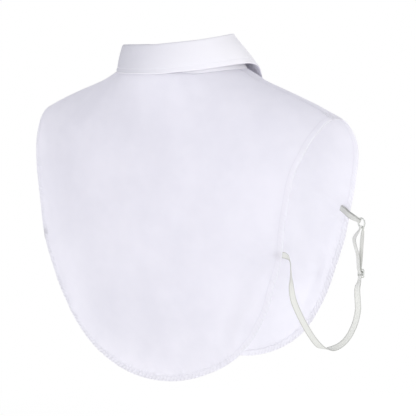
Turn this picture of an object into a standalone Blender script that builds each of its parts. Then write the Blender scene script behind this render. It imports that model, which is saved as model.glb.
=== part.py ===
"""Detachable shirt collar: a white cotton half shirt with a shirt collar, worn form with no wearer.

Blender 4.5, metres, +Z up. The garment faces -Y and the wearer's right is -X. The origin is the centre of
the neck at the height of the neck's side, where the wearer holds the collar up.

Positions are first worked out as (right, forward, up): right is towards the wearer's right arm and forward is
towards the chest. The function world turns them into Blender's axes.
"""
import bisect
import math
from types import SimpleNamespace

import bmesh
import bpy
import numpy as np
from mathutils import Matrix, Vector, geometry


class Table:
    """Rows of numbers with named columns."""

    def __init__(self, columns, rows, level_start=False):
        """Keeps the rows in rising order of the first column for reading between them."""
        self.columns = columns.split()
        self.rows = rows
        self.rising = rows if rows[0][0] <= rows[-1][0] else rows[::-1]
        self.level_start = level_start

    def named(self):
        """Each row as a set of named numbers."""
        return [SimpleNamespace(**dict(zip(self.columns, row))) for row in self.rows]

    def at(self, where, column):
        """Reads one column at a value of the first column, along a smooth line through the rows."""
        i = self.columns.index(column)
        x = [row[0] for row in self.rising]
        y = [row[i] for row in self.rising]
        where = min(max(where, x[0]), x[-1])
        k = min(max(bisect.bisect_left(x, where) - 1, 0), len(x) - 2)
        width, rise = x[k + 1] - x[k], y[k + 1] - y[k]
        t = (where - x[k]) / width
        start, end = self.slope(x, y, k) * width, self.slope(x, y, k + 1) * width
        return y[k] + t * (start + t * (3 * rise - 2 * start - end + t * (start + end - 2 * rise)))

    def slope(self, x, y, k):
        """The line's slope at a row, level where the rows turn back."""
        if k == 0 and self.level_start:
            return 0.0
        before = (y[k] - y[k - 1]) / (x[k] - x[k - 1]) if k else None
        after = (y[k + 1] - y[k]) / (x[k + 1] - x[k]) if k < len(x) - 1 else None
        if before is None or after is None:
            return after if before is None else before
        return 0.0 if before * after <= 0.0 else 2.0 * before * after / (before + after)


COLLECTION = "detachable_shirt_collar"
CUTTERS = "cutters"
CLOTH_COLOUR = (0.82, 0.82, 0.88)
STRAP_COLOUR = (0.66, 0.68, 0.63)
PLASTIC_COLOUR = (0.72, 0.73, 0.70)
BUTTON_COLOUR = (0.85, 0.85, 0.86)

# Cloth thicknesses, and the gap between pieces at a seam
CLOTH = 0.0011
HEM_CLOTH = 0.0019
HEM_WIDTH = 0.006
HEM_STEP = 0.0008
COLLAR_CLOTH = 0.0013
GAP = 0.0003

# The general figure under the cloth, by distance from the centre line: where the top of the shoulder lies,
# how far forward it is, and how square the cloth turns over it to the back and to the chest
SHOULDER = Table("right up forward back_fullness front_fullness", (
    (0.000, 0.0240, 0.0120, 4.00, 1.33),
    (0.030, 0.0180, 0.0130, 3.50, 1.45),
    (0.046, 0.0120, 0.0145, 3.00, 1.62),
    (0.066, 0.0034, 0.0150, 2.70, 1.78),
    (0.085, -0.0058, 0.0120, 2.50, 1.82),
    (0.104, -0.0125, 0.0100, 2.30, 1.84),
    (0.127, -0.0202, 0.0070, 2.05, 1.85),
    (0.147, -0.0277, 0.0060, 1.95, 1.88),
    (0.161, -0.0336, 0.0050, 1.90, 1.90),
    (0.1735, -0.0394, 0.0050, 1.85, 1.92),
    (0.188, -0.0470, 0.0050, 1.85, 1.94),
), level_start=True)
BLADE_LEVEL = -0.105
CHEST_LEVEL = -0.150
BACK_ROUNDNESS = 0.400
CHEST_ROUNDNESS = 0.500

# The centre line seen from the side, below the blades and below the chest
BACK_PROFILE = Table("up forward", (
    (-0.105, -0.0725),
    (-0.140, -0.0716),
    (-0.165, -0.0697),
    (-0.190, -0.0665),
    (-0.215, -0.0617),
    (-0.240, -0.0565),
    (-0.270, -0.0510),
    (-0.305, -0.0465),
))
FRONT_PROFILE = Table("up forward", (
    (-0.150, 0.1000),
    (-0.190, 0.0975),
    (-0.220, 0.0925),
    (-0.250, 0.0855),
    (-0.300, 0.0740),
))

# The cut edge of the back and of the fronts below the shoulder seam: half width at each height
BACK_EDGE = Table("up half_width", (
    (-0.0403, 0.1742),
    (-0.0441, 0.1716),
    (-0.0507, 0.1694),
    (-0.0602, 0.1659),
    (-0.0741, 0.1617),
    (-0.0863, 0.1577),
    (-0.1051, 0.1538),
    (-0.1228, 0.1509),
    (-0.1415, 0.1480),
    (-0.1637, 0.1457),
    (-0.1757, 0.1433),
    (-0.1882, 0.1392),
    (-0.2021, 0.1342),
    (-0.2152, 0.1300),
    (-0.2262, 0.1251),
    (-0.2386, 0.1180),
    (-0.2491, 0.1115),
    (-0.2565, 0.1055),
    (-0.2690, 0.0940),
    (-0.2762, 0.0850),
    (-0.2828, 0.0745),
    (-0.2892, 0.0615),
    (-0.2964, 0.0423),
    (-0.3012, 0.0200),
    (-0.3025, 0.0000),
))
FRONT_EDGE = Table("up half_width", (
    (-0.0403, 0.1742),
    (-0.0430, 0.1743),
    (-0.0475, 0.1745),
    (-0.0541, 0.1746),
    (-0.0607, 0.1744),
    (-0.0687, 0.1732),
    (-0.0789, 0.1702),
    (-0.0994, 0.1621),
    (-0.1250, 0.1530),
    (-0.1374, 0.1488),
    (-0.1550, 0.1447),
    (-0.1659, 0.1420),
    (-0.1815, 0.1366),
    (-0.1952, 0.1316),
    (-0.2134, 0.1262),
    (-0.2333, 0.1180),
    (-0.2548, 0.1055),
    (-0.2761, 0.0829),
    (-0.2904, 0.0534),
    (-0.2965, 0.0270),
    (-0.2985, 0.0000),
))

# Rings of the neck seam and of the collar's fold, by angle from the centre back
NECK = Table("angle seam_radius fold_radius", (
    (0.0, 0.0600, 0.0570),
    (30.0, 0.0605, 0.0575),
    (55.0, 0.0620, 0.0580),
    (80.0, 0.0645, 0.0578),
    (98.0, 0.0665, 0.0566),
    (112.0, 0.0680, 0.0535),
    (125.0, 0.0660, 0.0520),
    (150.0, 0.0630, 0.0545),
    (180.0, 0.0640, 0.0600),
), level_start=True)
SHOULDER_SEAM_ANGLE = 95.0
SHOULDER_TIP = (0.1742, -0.0005)

# The two sides of the figure, which are also the signs used in its formulas
BACK = 1
FRONT = -1

# Half the gap at the shoulder seam, how far the fronts reach past the centre, and how the right front lies out
SEAM_SPLIT = GAP * 1.3
SPLIT_ANGLE = math.degrees(SEAM_SPLIT / NECK.at(SHOULDER_SEAM_ANGLE, "seam_radius"))
OVERLAP = 0.013
LAP = 0.0027
LAP_FULL = 0.022
LAP_NONE = 0.070
PLACKET_HALF = 0.0125
PLACKET_CLOTH = 0.0011
PLACKET_STEPS = 26
PLACKET_GAP = 0.0006

# How finely the panels are filled
NECK_STEPS = 22
SEAM_STEPS = 8
EDGE_STEPS = 26
FILL_SPACING = 0.0150

# The largest folds: which panel, from where to where, half width, and how far they stand out
FOLDS = Table("side right_a up_a right_b up_b width lift", (
    (BACK, 0.121, -0.196, 0.090, -0.262, 0.0085, 0.0022),
    (BACK, 0.103, -0.188, 0.078, -0.256, 0.0090, -0.0020),
    (BACK, -0.118, -0.190, -0.096, -0.256, 0.0095, 0.0018),
    (BACK, 0.070, -0.100, 0.020, -0.190, 0.0260, -0.0012),
    (FRONT, 0.112, -0.185, 0.086, -0.256, 0.0090, 0.0020),
    (FRONT, -0.112, -0.185, -0.086, -0.256, 0.0090, 0.0020),
    (FRONT, 0.060, -0.090, 0.046, -0.210, 0.0150, 0.0015),
    (FRONT, -0.060, -0.090, -0.046, -0.210, 0.0150, 0.0015),
))
FOLD_LIST = FOLDS.named()
FOLD_FULL = 0.30
FOLD_FADE = 0.22

# The collar, by angle from the centre back: the fold's height, how far the fall drops below it, how far the right
# side stands above the left, by half, how far out the lower edge stands, and how far it lies from the fold in angle
COLLAR = Table("angle fold_up drop lean edge_radius edge_turn", (
    (0.0, 0.0272, 0.0290, 0.0000, 0.0630, 0.0),
    (30.0, 0.0281, 0.0286, 0.0015, 0.0632, 0.0),
    (55.0, 0.0294, 0.0284, 0.0029, 0.0636, 0.0),
    (80.0, 0.0310, 0.0282, 0.0046, 0.0678, 0.0),
    (98.0, 0.0318, 0.0283, 0.0055, 0.0740, 0.0),
    (112.0, 0.0313, 0.0305, 0.0050, 0.0775, 1.0),
    (125.0, 0.0268, 0.0368, 0.0034, 0.0800, 3.0),
    (150.0, 0.0010, 0.0490, 0.0016, 0.0870, 9.0),
    (174.0, -0.0205, 0.0600, 0.0000, 0.0960, 19.0),
), level_start=True)
COLLAR_END = 172.0
COLLAR_STEPS = 48
LEAF_STEPS = 4
COLLAR_CLEAR = 0.0019
LEAF_BELLY = 0.0008

# The fold's section over the stand's top edge: out from the fold's radius, and up from its height
FOLD_SECTION = Table("out up", (
    (-0.0029, -0.0042),
    (-0.0028, -0.0020),
    (-0.0018, -0.0008),
    (-0.0006, -0.0007),
    (0.0002, -0.0022),
))

# The stand: its ends pass the centre front and lap, the right one outside
STAND_END = 190.0
STAND_LAP = 0.0024
STAND_TOP_IN = 0.0029
STAND_TOP_DOWN = 0.0056
STAND_END_ROUND = 0.009
STAND_STEPS = 52
STAND_ROWS = 3

# Buttons: four down the placket, one on the stand
BUTTON_RADIUS = 0.0055
BUTTON_THICK = 0.0022
BUTTON_RIM = 0.0013
HOLE_RADIUS = 0.0008
HOLE_OFFSET = 0.0013
BUTTON_STEPS = 16
HOLE_STEPS = 6
BUTTON_UPS = (-0.074, -0.132, -0.190, -0.248)
STAND_BUTTON_UP = -0.0385

# Elastic straps: flat braid sewn to the back's edge, with a slider, a ring and a tab inside the front's edge
STRAP_WIDTH = 0.006
STRAP_THICK = 0.0009
RUN_SPACING = 0.0062
LOOP_SPACING = 0.0040
RING_RADIUS = 0.0048
RING_WIRE = 0.0008
RING_STEPS = 20
RING_SIDES = 6
RING_CENTRE = (0.1635, 0.0740, -0.1467)
SLIDER_CENTRE = (0.1635, 0.0740, -0.1963)
SLIDER_WIDTH = 0.0096
SLIDER_HEIGHT = 0.0092
SLIDER_THICK = 0.0012
SLOT_WIDTH = 0.0070
SLOT_HEIGHT = 0.0026
SLOT_OFFSET = 0.0021
STRAP_ACROSS = (0.93, -0.37, 0.0)
STRAP_OUT = (0.37, 0.93, 0.0)

# The long run from the back's edge to the slider: the route, and the direction of the braid's width there
RUN = Table("right forward up width_right width_forward width_up", (
    (0.1370, -0.0434, -0.1655, 0.0, 0.0, 1.0),
    (0.1415, -0.0416, -0.1655, 0.0, 0.0, 1.0),
    (0.1460, -0.0390, -0.1662, -0.2, 0.3, 0.9),
    (0.1485, -0.0355, -0.1695, -0.45, 0.6, 0.5),
    (0.1488, -0.0335, -0.1765, -0.574, 0.819, 0.1),
    (0.1478, -0.0310, -0.1885, -0.20, 0.95, 0.1),
    (0.1471, -0.0287, -0.1994, 0.45, 0.85, 0.2),
    (0.1478, -0.0246, -0.2130, 0.65, 0.62, 0.30),
    (0.1502, -0.0095, -0.2363, 0.66, 0.50, 0.45),
    (0.1528, 0.0068, -0.2552, 0.55, 0.42, 0.72),
    (0.1549, 0.0187, -0.2630, 0.98, -0.15, 0.20),
    (0.1576, 0.0315, -0.2650, 0.70, 0.10, -0.70),
    (0.1599, 0.0442, -0.2626, 0.55, 0.31, -0.77),
    (0.1618, 0.0550, -0.2560, 0.68, 0.42, -0.58),
    (0.1632, 0.0638, -0.2450, 0.78, 0.51, -0.35),
    (0.1637, 0.0684, -0.2325, 0.83, 0.53, -0.20),
    (0.1632, 0.0684, -0.2219, 0.85, 0.50, -0.10),
    (0.1626, 0.0686, -0.2115, 0.93, 0.20, 0.0),
))
# The run's last stretch, through the slider's lower slot: up and out from the slider's centre
RUN_END = Table("up out", (
    (-0.0085, -0.0022),
    (-0.0045, -0.0015),
    (-0.0031, -0.0013),
    (-0.0021, 0.0000),
    (-0.0011, 0.0014),
    (-0.0003, 0.0015),
))
# The doubled part: from over the slider's middle bar up to the ring, round it, and back down to the bar
LOOP = Table("up out", (
    (0.0004, 0.0015),
    (0.0011, 0.0014),
    (0.0019, 0.0006),
    (0.0023, -0.0006),
    (0.0032, -0.0014),
    (0.0048, -0.0015),
    (0.0080, -0.0011),
    (0.0160, -0.0003),
    (0.0280, 0.0004),
    (0.0380, 0.0012),
    (0.0425, 0.0019),
    (0.0448, 0.0019),
    (0.0461, 0.0013),
    (0.0466, 0.0000),
    (0.0461, -0.0013),
    (0.0448, -0.0019),
    (0.0425, -0.0030),
    (0.0395, -0.0060),
    (0.0360, -0.0085),
    (0.0330, -0.0090),
    (0.0280, -0.0078),
    (0.0220, -0.0055),
    (0.0160, -0.0040),
    (0.0100, -0.0034),
    (0.0055, -0.0031),
    (0.0036, -0.0028),
    (0.0022, -0.0023),
    (0.0011, -0.0016),
    (0.0000, -0.0015),
    (-0.0010, -0.0015),
))
# The tab's middle line, from its bar tack inside the front's edge to the ring
TAB = Table("right forward up", (
    (0.1390, 0.0762, -0.1335),
    (0.1440, 0.0748, -0.1360),
    (0.1490, 0.0732, -0.1388),
    (0.1540, 0.0735, -0.1415),
))
TAB_SPLIT = (0.00085, 0.00085, 0.0009, 0.0012)
LEFT_STRAP_SWAY = 0.014
SWAY_TOP = -0.166
SWAY_DROP = 0.095
SWAY_FRONT = 0.066
SWAY_FADE = 0.045


def world(right, forward, up):
    """Turns a place on the garment into Blender's axes."""
    return Vector((-right, -forward, up))


def section(right, side):
    """The figure's section at one distance from the centre line: top, crest, level, reach and fullness."""
    out = abs(right)
    top, crest = SHOULDER.at(out, "up"), SHOULDER.at(out, "forward")
    if side == BACK:
        depth = BACK_PROFILE.at(BLADE_LEVEL, "forward") + out * out / (2.0 * BACK_ROUNDNESS)
        return top, crest, BLADE_LEVEL, depth - crest, SHOULDER.at(out, "back_fullness")
    depth = FRONT_PROFILE.at(CHEST_LEVEL, "forward") - out * out / (2.0 * CHEST_ROUNDNESS)
    return top, crest, CHEST_LEVEL, depth - crest, SHOULDER.at(out, "front_fullness")


def skin(right, down, side):
    """A place on the figure: down is measured along it from the blades' or the chest's level."""
    top, crest, level, reach, fullness = section(right, side)
    height = top - level
    turn = math.pi / 2.0 + down / height
    if turn < 0.0:
        other = section(right, -side)
        return skin(right, (-turn - math.pi / 2.0) * (other[0] - other[2]), -side)
    if turn >= math.pi / 2.0:
        up = level - down
        profile, roundness = BACK_PROFILE, BACK_ROUNDNESS
        if side == FRONT:
            profile, roundness = FRONT_PROFILE, CHEST_ROUNDNESS
        return (right, profile.at(up, "forward") + side * right * right / (2.0 * roundness), up)
    sine, cosine = math.sin(turn), math.cos(turn)
    ray = (sine ** fullness + cosine ** fullness) ** (-1.0 / fullness)
    return (right, crest + reach * sine * ray, level + height * cosine * ray)


def down_at_forward(right, forward, side):
    """How far down the figure a place above the blades lies, from its place in plan."""
    top, crest, level, reach, fullness = section(right, side)
    share = (forward - crest) / reach
    height = top - level
    if share < 0.0:
        other = section(right, -side)
        other_share = min((forward - other[1]) / other[3], 0.9999)
        turn = -math.atan((other_share ** -other[4] - 1.0) ** (-1.0 / other[4])) if other_share > 1e-6 else 0.0
    else:
        share = min(max(share, 1e-6), 0.9999)
        turn = math.atan((share ** -fullness - 1.0) ** (-1.0 / fullness))
    return (turn - math.pi / 2.0) * height


def down_at_up(right, up, side):
    """How far down the figure a place on the chest or the back lies, from its height."""
    top, crest, level, reach, fullness = section(right, side)
    if up <= level:
        return level - up
    share = min((up - level) / (top - level), 0.9999)
    return (math.atan((share ** -fullness - 1.0) ** (1.0 / fullness)) - math.pi / 2.0) * (top - level)


def outward(right, down, side):
    """The direction that points out of the figure."""
    step = 0.0005
    a, b = (Vector(skin(right + s, down, side)) for s in (-step, step))
    c, d = (Vector(skin(right, down + s, side)) for s in (-step, step))
    return side * (b - a).cross(d - c).normalized() * -1.0


def fold_depth(right, up, side):
    """How far the cloth's largest folds lift it off the figure, or sink it, at one place."""
    total = 0.0
    for fold in FOLD_LIST:
        if fold.side != side:
            continue
        along_right, along_up = fold.right_b - fold.right_a, fold.up_b - fold.up_a
        length = math.hypot(along_right, along_up)
        share = ((right - fold.right_a) * along_right + (up - fold.up_a) * along_up) / length ** 2
        across = ((right - fold.right_a) * along_up - (up - fold.up_a) * along_right) / length
        fade = math.exp(-(max(abs(share - 0.5) - FOLD_FULL, 0.0) / FOLD_FADE) ** 2)
        total += fold.lift * fade * math.exp(-(across / fold.width) ** 2)
    return total


def cloth(right, down, side, lift=0.0):
    """A place on the outer face of the worn cloth, in Blender's axes."""
    place = Vector(skin(right, down, side))
    place += outward(right, down, side) * (lift + fold_depth(right, place.z, side))
    return world(*place)


def neck_place(angle):
    """A place in plan on the neck seam."""
    radius = NECK.at(min(abs(angle), 360.0 - abs(angle)), "seam_radius")
    return radius * math.sin(math.radians(angle)), -radius * math.cos(math.radians(angle))


def edge_rows(table):
    """A cut edge with the share of its length from the shoulder tip to the centre line in front."""
    places = [(half_width, up) for up, half_width in table.rows]
    places.append((-places[-2][0], places[-2][1]))
    lengths = [0.0]
    for a, b in zip(places, places[1:]):
        lengths.append(lengths[-1] + math.dist(a, b))
    rows = [(length / lengths[-2], *place) for length, place in zip(lengths, places)]
    return Table("share half_width up", rows)


def cut_edge(table, side, steps, right_sign=1.0):
    """The cut edge from the shoulder tip towards the centre front or back, as (right, down)."""
    rows = edge_rows(table)
    points = []
    for i in range(1, steps + 1):
        half_width, up = rows.at(i / steps, "half_width"), rows.at(i / steps, "up")
        points.append((right_sign * half_width, down_at_up(half_width, up, side)))
    return points


def shoulder_seam(side, steps, right_sign=1.0):
    """The shoulder seam from the neck to the tip; back and front keep half the gap each."""
    start = neck_place(SHOULDER_SEAM_ANGLE)
    points = []
    for i in range(steps + 1):
        right = start[0] + (SHOULDER_TIP[0] - start[0]) * i / steps
        forward = start[1] + (SHOULDER_TIP[1] - start[1]) * i / steps + SEAM_SPLIT * (-1.0 if side == BACK else 1.0)
        points.append((right_sign * right, down_at_forward(right, forward, side)))
    return points


def neck_seam(side, start, stop, steps):
    """The neck seam between two angles from the centre back, as (right, down)."""
    points = []
    for i in range(steps + 1):
        right, forward = neck_place(start + (stop - start) * i / steps)
        points.append((right, down_at_forward(right, forward, side)))
    return points


def back_outline():
    """The back's pattern from the left shoulder tip, and where its hem starts and stops."""
    stop = SHOULDER_SEAM_ANGLE - SPLIT_ANGLE
    neck = neck_seam(BACK, -stop, stop, NECK_STEPS)
    seam = shoulder_seam(BACK, SEAM_STEPS)
    edge = cut_edge(BACK_EDGE, BACK, EDGE_STEPS)
    left_edge = [(-right, down) for right, down in reversed(edge[:-1])]
    left_seam = [(-right, down) for right, down in reversed(seam)]
    outline = left_seam[:-1] + neck + seam[1:] + edge + left_edge
    return outline, len(outline) - len(edge) - len(left_edge), len(outline) + 1


def front_outline(right_sign):
    """A front's pattern, from its centre edge over the neck and round, and where its hem starts and stops."""
    reach = OVERLAP / NECK.at(180.0, "seam_radius")
    start = 180.0 + math.degrees(math.asin(reach))
    stop = SHOULDER_SEAM_ANGLE + SPLIT_ANGLE
    neck = [(right_sign * right, down) for right, down in neck_seam(FRONT, start, stop, NECK_STEPS // 2)]
    seam = shoulder_seam(FRONT, SEAM_STEPS, right_sign)
    edge = cut_edge(FRONT_EDGE, FRONT, EDGE_STEPS, right_sign)
    bottom = edge[-1][1]
    hem_end = [(-right_sign * OVERLAP * 0.5, bottom), (-right_sign * OVERLAP, bottom)]
    steps = round((bottom - neck[0][1]) / FILL_SPACING)
    centre = [(-right_sign * OVERLAP, bottom + (neck[0][1] - bottom) * i / steps) for i in range(1, steps)]
    hem_start = len(neck) + len(seam) - 1
    return neck + seam[1:] + edge + hem_end + centre, hem_start, hem_start + len(edge) + len(hem_end)


def to_edge(place, points):
    """The distance in the pattern from a place to the nearest stretch of a line of points."""
    best = 1.0
    for a, b in zip(points, points[1:]):
        ab = (b[0] - a[0], b[1] - a[1])
        t = ((place[0] - a[0]) * ab[0] + (place[1] - a[1]) * ab[1]) / max(ab[0] ** 2 + ab[1] ** 2, 1e-12)
        t = min(max(t, 0.0), 1.0)
        best = min(best, math.hypot(place[0] - a[0] - t * ab[0], place[1] - a[1] - t * ab[1]))
    return best


def inside(place, points):
    """Whether a place lies inside a closed outline."""
    hit = False
    for a, b in zip(points, points[1:] + points[:1]):
        if (a[1] > place[1]) != (b[1] > place[1]):
            if place[0] < a[0] + (b[0] - a[0]) * (place[1] - a[1]) / (b[1] - a[1]):
                hit = not hit
    return hit


def fill_pattern(outline, hem_start, hem_stop):
    """Fills a pattern with triangles: its outline, two lines along the hem, and evenly spaced places inside."""
    hem = (outline + outline[:1])[hem_start:hem_stop]
    places = list(outline)
    for offset in (HEM_WIDTH, HEM_WIDTH + HEM_STEP):
        for a, b, c in zip(hem, hem[1:], hem[2:]):
            along = (c[0] - a[0], c[1] - a[1])
            length = math.hypot(*along)
            for turn in (1.0, -1.0):
                place = (b[0] + turn * along[1] / length * offset, b[1] - turn * along[0] / length * offset)
                if inside(place, outline) and to_edge(place, outline + outline[:1]) > offset * 0.97:
                    places.append(place)
    closed = outline + outline[:1]
    rights, downs = [p[0] for p in outline], [p[1] for p in outline]
    row, down = 0, min(downs)
    while down < max(downs):
        right = -0.2 + (0.5 * FILL_SPACING if row % 2 else 0.0)
        while right < max(rights):
            place = (right, down)
            if inside(place, outline):
                clear = to_edge(place, hem) > HEM_WIDTH + HEM_STEP + 0.4 * FILL_SPACING
                if clear and to_edge(place, closed) > 0.45 * FILL_SPACING:
                    places.append(place)
            right += FILL_SPACING
        down += FILL_SPACING * 0.87
        row += 1
    edges = [(i, (i + 1) % len(outline)) for i in range(len(outline))]
    flat = [Vector((right, down)) for right, down in places]
    verts, _, faces, *_ = geometry.delaunay_2d_cdt(flat, edges, [], 1, 1e-6)
    hem_verts = [i for i, v in enumerate(verts) if to_edge(v, hem) < HEM_WIDTH + 0.3 * HEM_STEP]
    return [(v.x, v.y) for v in verts], faces, hem_verts


def new_object(name, mesh, colour=None):
    """Links a mesh as a piece of the garment, with its own material."""
    piece = bpy.data.objects.new(name, mesh)
    bpy.data.collections[COLLECTION].objects.link(piece)
    material = bpy.data.materials.new(name)
    material.use_nodes = True
    shader = material.node_tree.nodes["Principled BSDF"]
    shader.inputs["Base Color"].default_value = (*(colour or CLOTH_COLOUR), 1.0)
    shader.inputs["Roughness"].default_value = 0.85 if colour is None else 0.4
    shader.inputs["Metallic"].default_value = 0.0
    piece.data.materials.append(material)
    return piece


def thicken(piece, thickness, offset=-1.0, group=None, share=1.0):
    """Gives an open surface its wall."""
    wall = piece.modifiers.new("wall", "SOLIDIFY")
    wall.thickness = thickness
    wall.offset = offset
    wall.use_even_offset = False
    if group:
        wall.vertex_group = group
        wall.thickness_vertex_group = share


def face_out(bm, direction):
    """Turns a surface's faces so that they look along a direction."""
    bm.normal_update()
    if sum((face.normal.dot(direction) * face.calc_area() for face in bm.faces)) < 0.0:
        bmesh.ops.reverse_faces(bm, faces=bm.faces[:])


def build_panel(name, side, pattern, lift=None):
    """A panel of cloth: its filled pattern laid on the figure, with a thicker hem round its cut edge."""
    flat, faces, hem_verts = fill_pattern(*pattern)
    bm = bmesh.new()
    verts = [bm.verts.new(cloth(right, down, side, lift(right) if lift else 0.0)) for right, down in flat]
    for face in faces:
        bm.faces.new([verts[i] for i in face])
    face_out(bm, Vector((0.0, 1.0 if side == BACK else -1.0, 0.0)))
    mesh = bpy.data.meshes.new(name)
    bm.to_mesh(mesh)
    bm.free()
    piece = new_object(name, mesh)
    piece.vertex_groups.new(name="hem").add(hem_verts, 1.0, "REPLACE")
    thicken(piece, HEM_CLOTH, group="hem", share=CLOTH / HEM_CLOTH)
    mesh.shade_smooth()
    return piece


def sheet(name, columns, rows, place, thickness, look, offset=0.0):
    """A sheet from a grid whose places a function gives for two shares from 0 to 1."""
    bm = bmesh.new()
    bmesh.ops.create_grid(bm, x_segments=columns, y_segments=rows, size=0.5)
    for vert in bm.verts:
        vert.co = place(vert.co.x + 0.5, vert.co.y + 0.5)
    face_out(bm, look) if isinstance(look, Vector) else look(bm)
    mesh = bpy.data.meshes.new(name)
    bm.to_mesh(mesh)
    bm.free()
    piece = new_object(name, mesh)
    thicken(piece, thickness, offset)
    mesh.shade_smooth()
    return piece


def right_front_lift(right):
    """How far the right front lies out from the left one, near the centre."""
    share = min(max((LAP_NONE - right) / (LAP_NONE - LAP_FULL), 0.0), 1.0)
    return LAP * share * share * (3.0 - 2.0 * share)


def clear_of_body(place, clearance):
    """Moves a place of the collar out of the panels under it, in the figure's own section."""
    right, forward, up = place
    side = BACK if forward < SHOULDER.at(abs(right), "forward") else FRONT
    top, crest, level, reach, fullness = section(right, side)
    if up <= level:
        return place
    share, rise = abs((forward - crest) / reach), (up - level) / (top - level)
    ratio = (share ** fullness + rise ** fullness) ** (1.0 / fullness)
    length = math.hypot(forward - crest, up - level)
    needed = length / ratio + clearance + (right_front_lift(right) if side == FRONT else 0.0)
    if length >= needed:
        return place
    grow = needed / length
    return (right, crest + (forward - crest) * grow, level + (up - level) * grow)


def ring_place(radius, angle, up):
    """A place at a radius and an angle from the centre back."""
    turn = math.radians(angle)
    return radius * math.sin(turn), -radius * math.cos(turn), up


def fall_place(along, across):
    """A place on the middle of the fall's cloth: along from its left end, across from the stand to its edge."""
    angle = COLLAR_END * (2.0 * along - 1.0)
    size = abs(angle)
    fold_up, fold_radius = COLLAR.at(size, "fold_up"), NECK.at(size, "fold_radius")
    step = across * (len(FOLD_SECTION.rows) - 1 + LEAF_STEPS)
    lean = math.copysign(COLLAR.at(size, "lean"), angle)
    if step <= len(FOLD_SECTION.rows) - 1:
        out, rise = FOLD_SECTION.rows[round(step)]
        return world(*ring_place(fold_radius + out, angle, fold_up + rise + lean))
    share = (step - len(FOLD_SECTION.rows) + 1) / LEAF_STEPS
    out, rise = FOLD_SECTION.rows[-1]
    start = Vector(ring_place(fold_radius + out, angle, fold_up + rise + lean))
    end_angle = math.copysign(size - COLLAR.at(size, "edge_turn"), angle)
    end = Vector(ring_place(COLLAR.at(size, "edge_radius"), end_angle, fold_up - COLLAR.at(size, "drop") + lean))
    place = start.lerp(end, share)
    belly = LEAF_BELLY * math.sin(math.pi * share)
    place += Vector(ring_place(belly, angle, 0.0))
    return world(*clear_of_body(place, COLLAR_CLEAR))


def stand_place(along, across):
    """A place on the middle of the stand's cloth: along from its left end, across from the seam to its top."""
    angle = STAND_END * (2.0 * along - 1.0)
    size = min(abs(angle), 360.0 - abs(angle))
    lap = min(max((-angle - 150.0) / 28.0, 0.0), 1.0) * STAND_LAP
    seam_radius, fold_radius = NECK.at(size, "seam_radius"), NECK.at(size, "fold_radius")
    right, forward = neck_place(math.copysign(size, angle))
    foot_side = BACK if size < SHOULDER_SEAM_ANGLE else FRONT
    down = down_at_forward(right, forward, foot_side)
    foot = skin(right, down, foot_side)[2] - CLOTH * 0.4
    slope = outward(right, down, foot_side)
    tuck = max(slope.x * right + slope.y * forward, 0.0) / seam_radius * CLOTH
    inset = GAP * 1.5 + COLLAR_CLOTH / 2.0 + lap + tuck
    lean = math.copysign(COLLAR.at(size, "lean"), angle)
    top = COLLAR.at(size, "fold_up") - STAND_TOP_DOWN + lean
    to_end = (STAND_END - abs(angle)) * math.pi / 180.0 * fold_radius
    if to_end < STAND_END_ROUND:
        top -= 0.6 * (top - foot) * (1.0 - math.sqrt(1.0 - (1.0 - to_end / STAND_END_ROUND) ** 2))
    radius = seam_radius - inset + (fold_radius - STAND_TOP_IN - lap - seam_radius + inset) * across
    return world(*ring_place(radius, angle, foot + (top - foot) * across))


def look_away_from_neck(bm):
    """Turns a collar band's faces away from the neck."""
    bm.normal_update()
    if sum(face.normal.dot(Vector((*face.calc_center_median().xy, 0.0))) for face in bm.faces) < 0.0:
        bmesh.ops.reverse_faces(bm, faces=bm.faces[:])


def build_collar():
    """The stand and the fall."""
    sheet("collar_stand", STAND_STEPS, STAND_ROWS, stand_place, COLLAR_CLOTH, look_away_from_neck)
    rows = len(FOLD_SECTION.rows) - 1 + LEAF_STEPS
    sheet("collar_fall", COLLAR_STEPS, rows, fall_place, COLLAR_CLOTH, look_away_from_neck)


def placket_place(along, across):
    """A place on the outer face of the placket, which lies on the right front."""
    right = PLACKET_HALF * (2.0 * across - 1.0)
    neck = down_at_forward(right, 0.0648, FRONT)
    hem = down_at_up(0.0, FRONT_EDGE.rows[-1][0] + GAP, FRONT)
    lift = right_front_lift(right) + PLACKET_GAP + PLACKET_CLOTH
    return cloth(right, neck + (hem - neck) * along, FRONT, lift)


def build_panels():
    """The back, both fronts and the placket."""
    build_panel("back_panel", BACK, back_outline())
    build_panel("front_right", FRONT, front_outline(1.0), right_front_lift)
    build_panel("front_left", FRONT, front_outline(-1.0))
    sheet("placket", PLACKET_STEPS, 2, placket_place, PLACKET_CLOTH, Vector((0.0, -1.0, 0.0)), -1.0)


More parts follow.
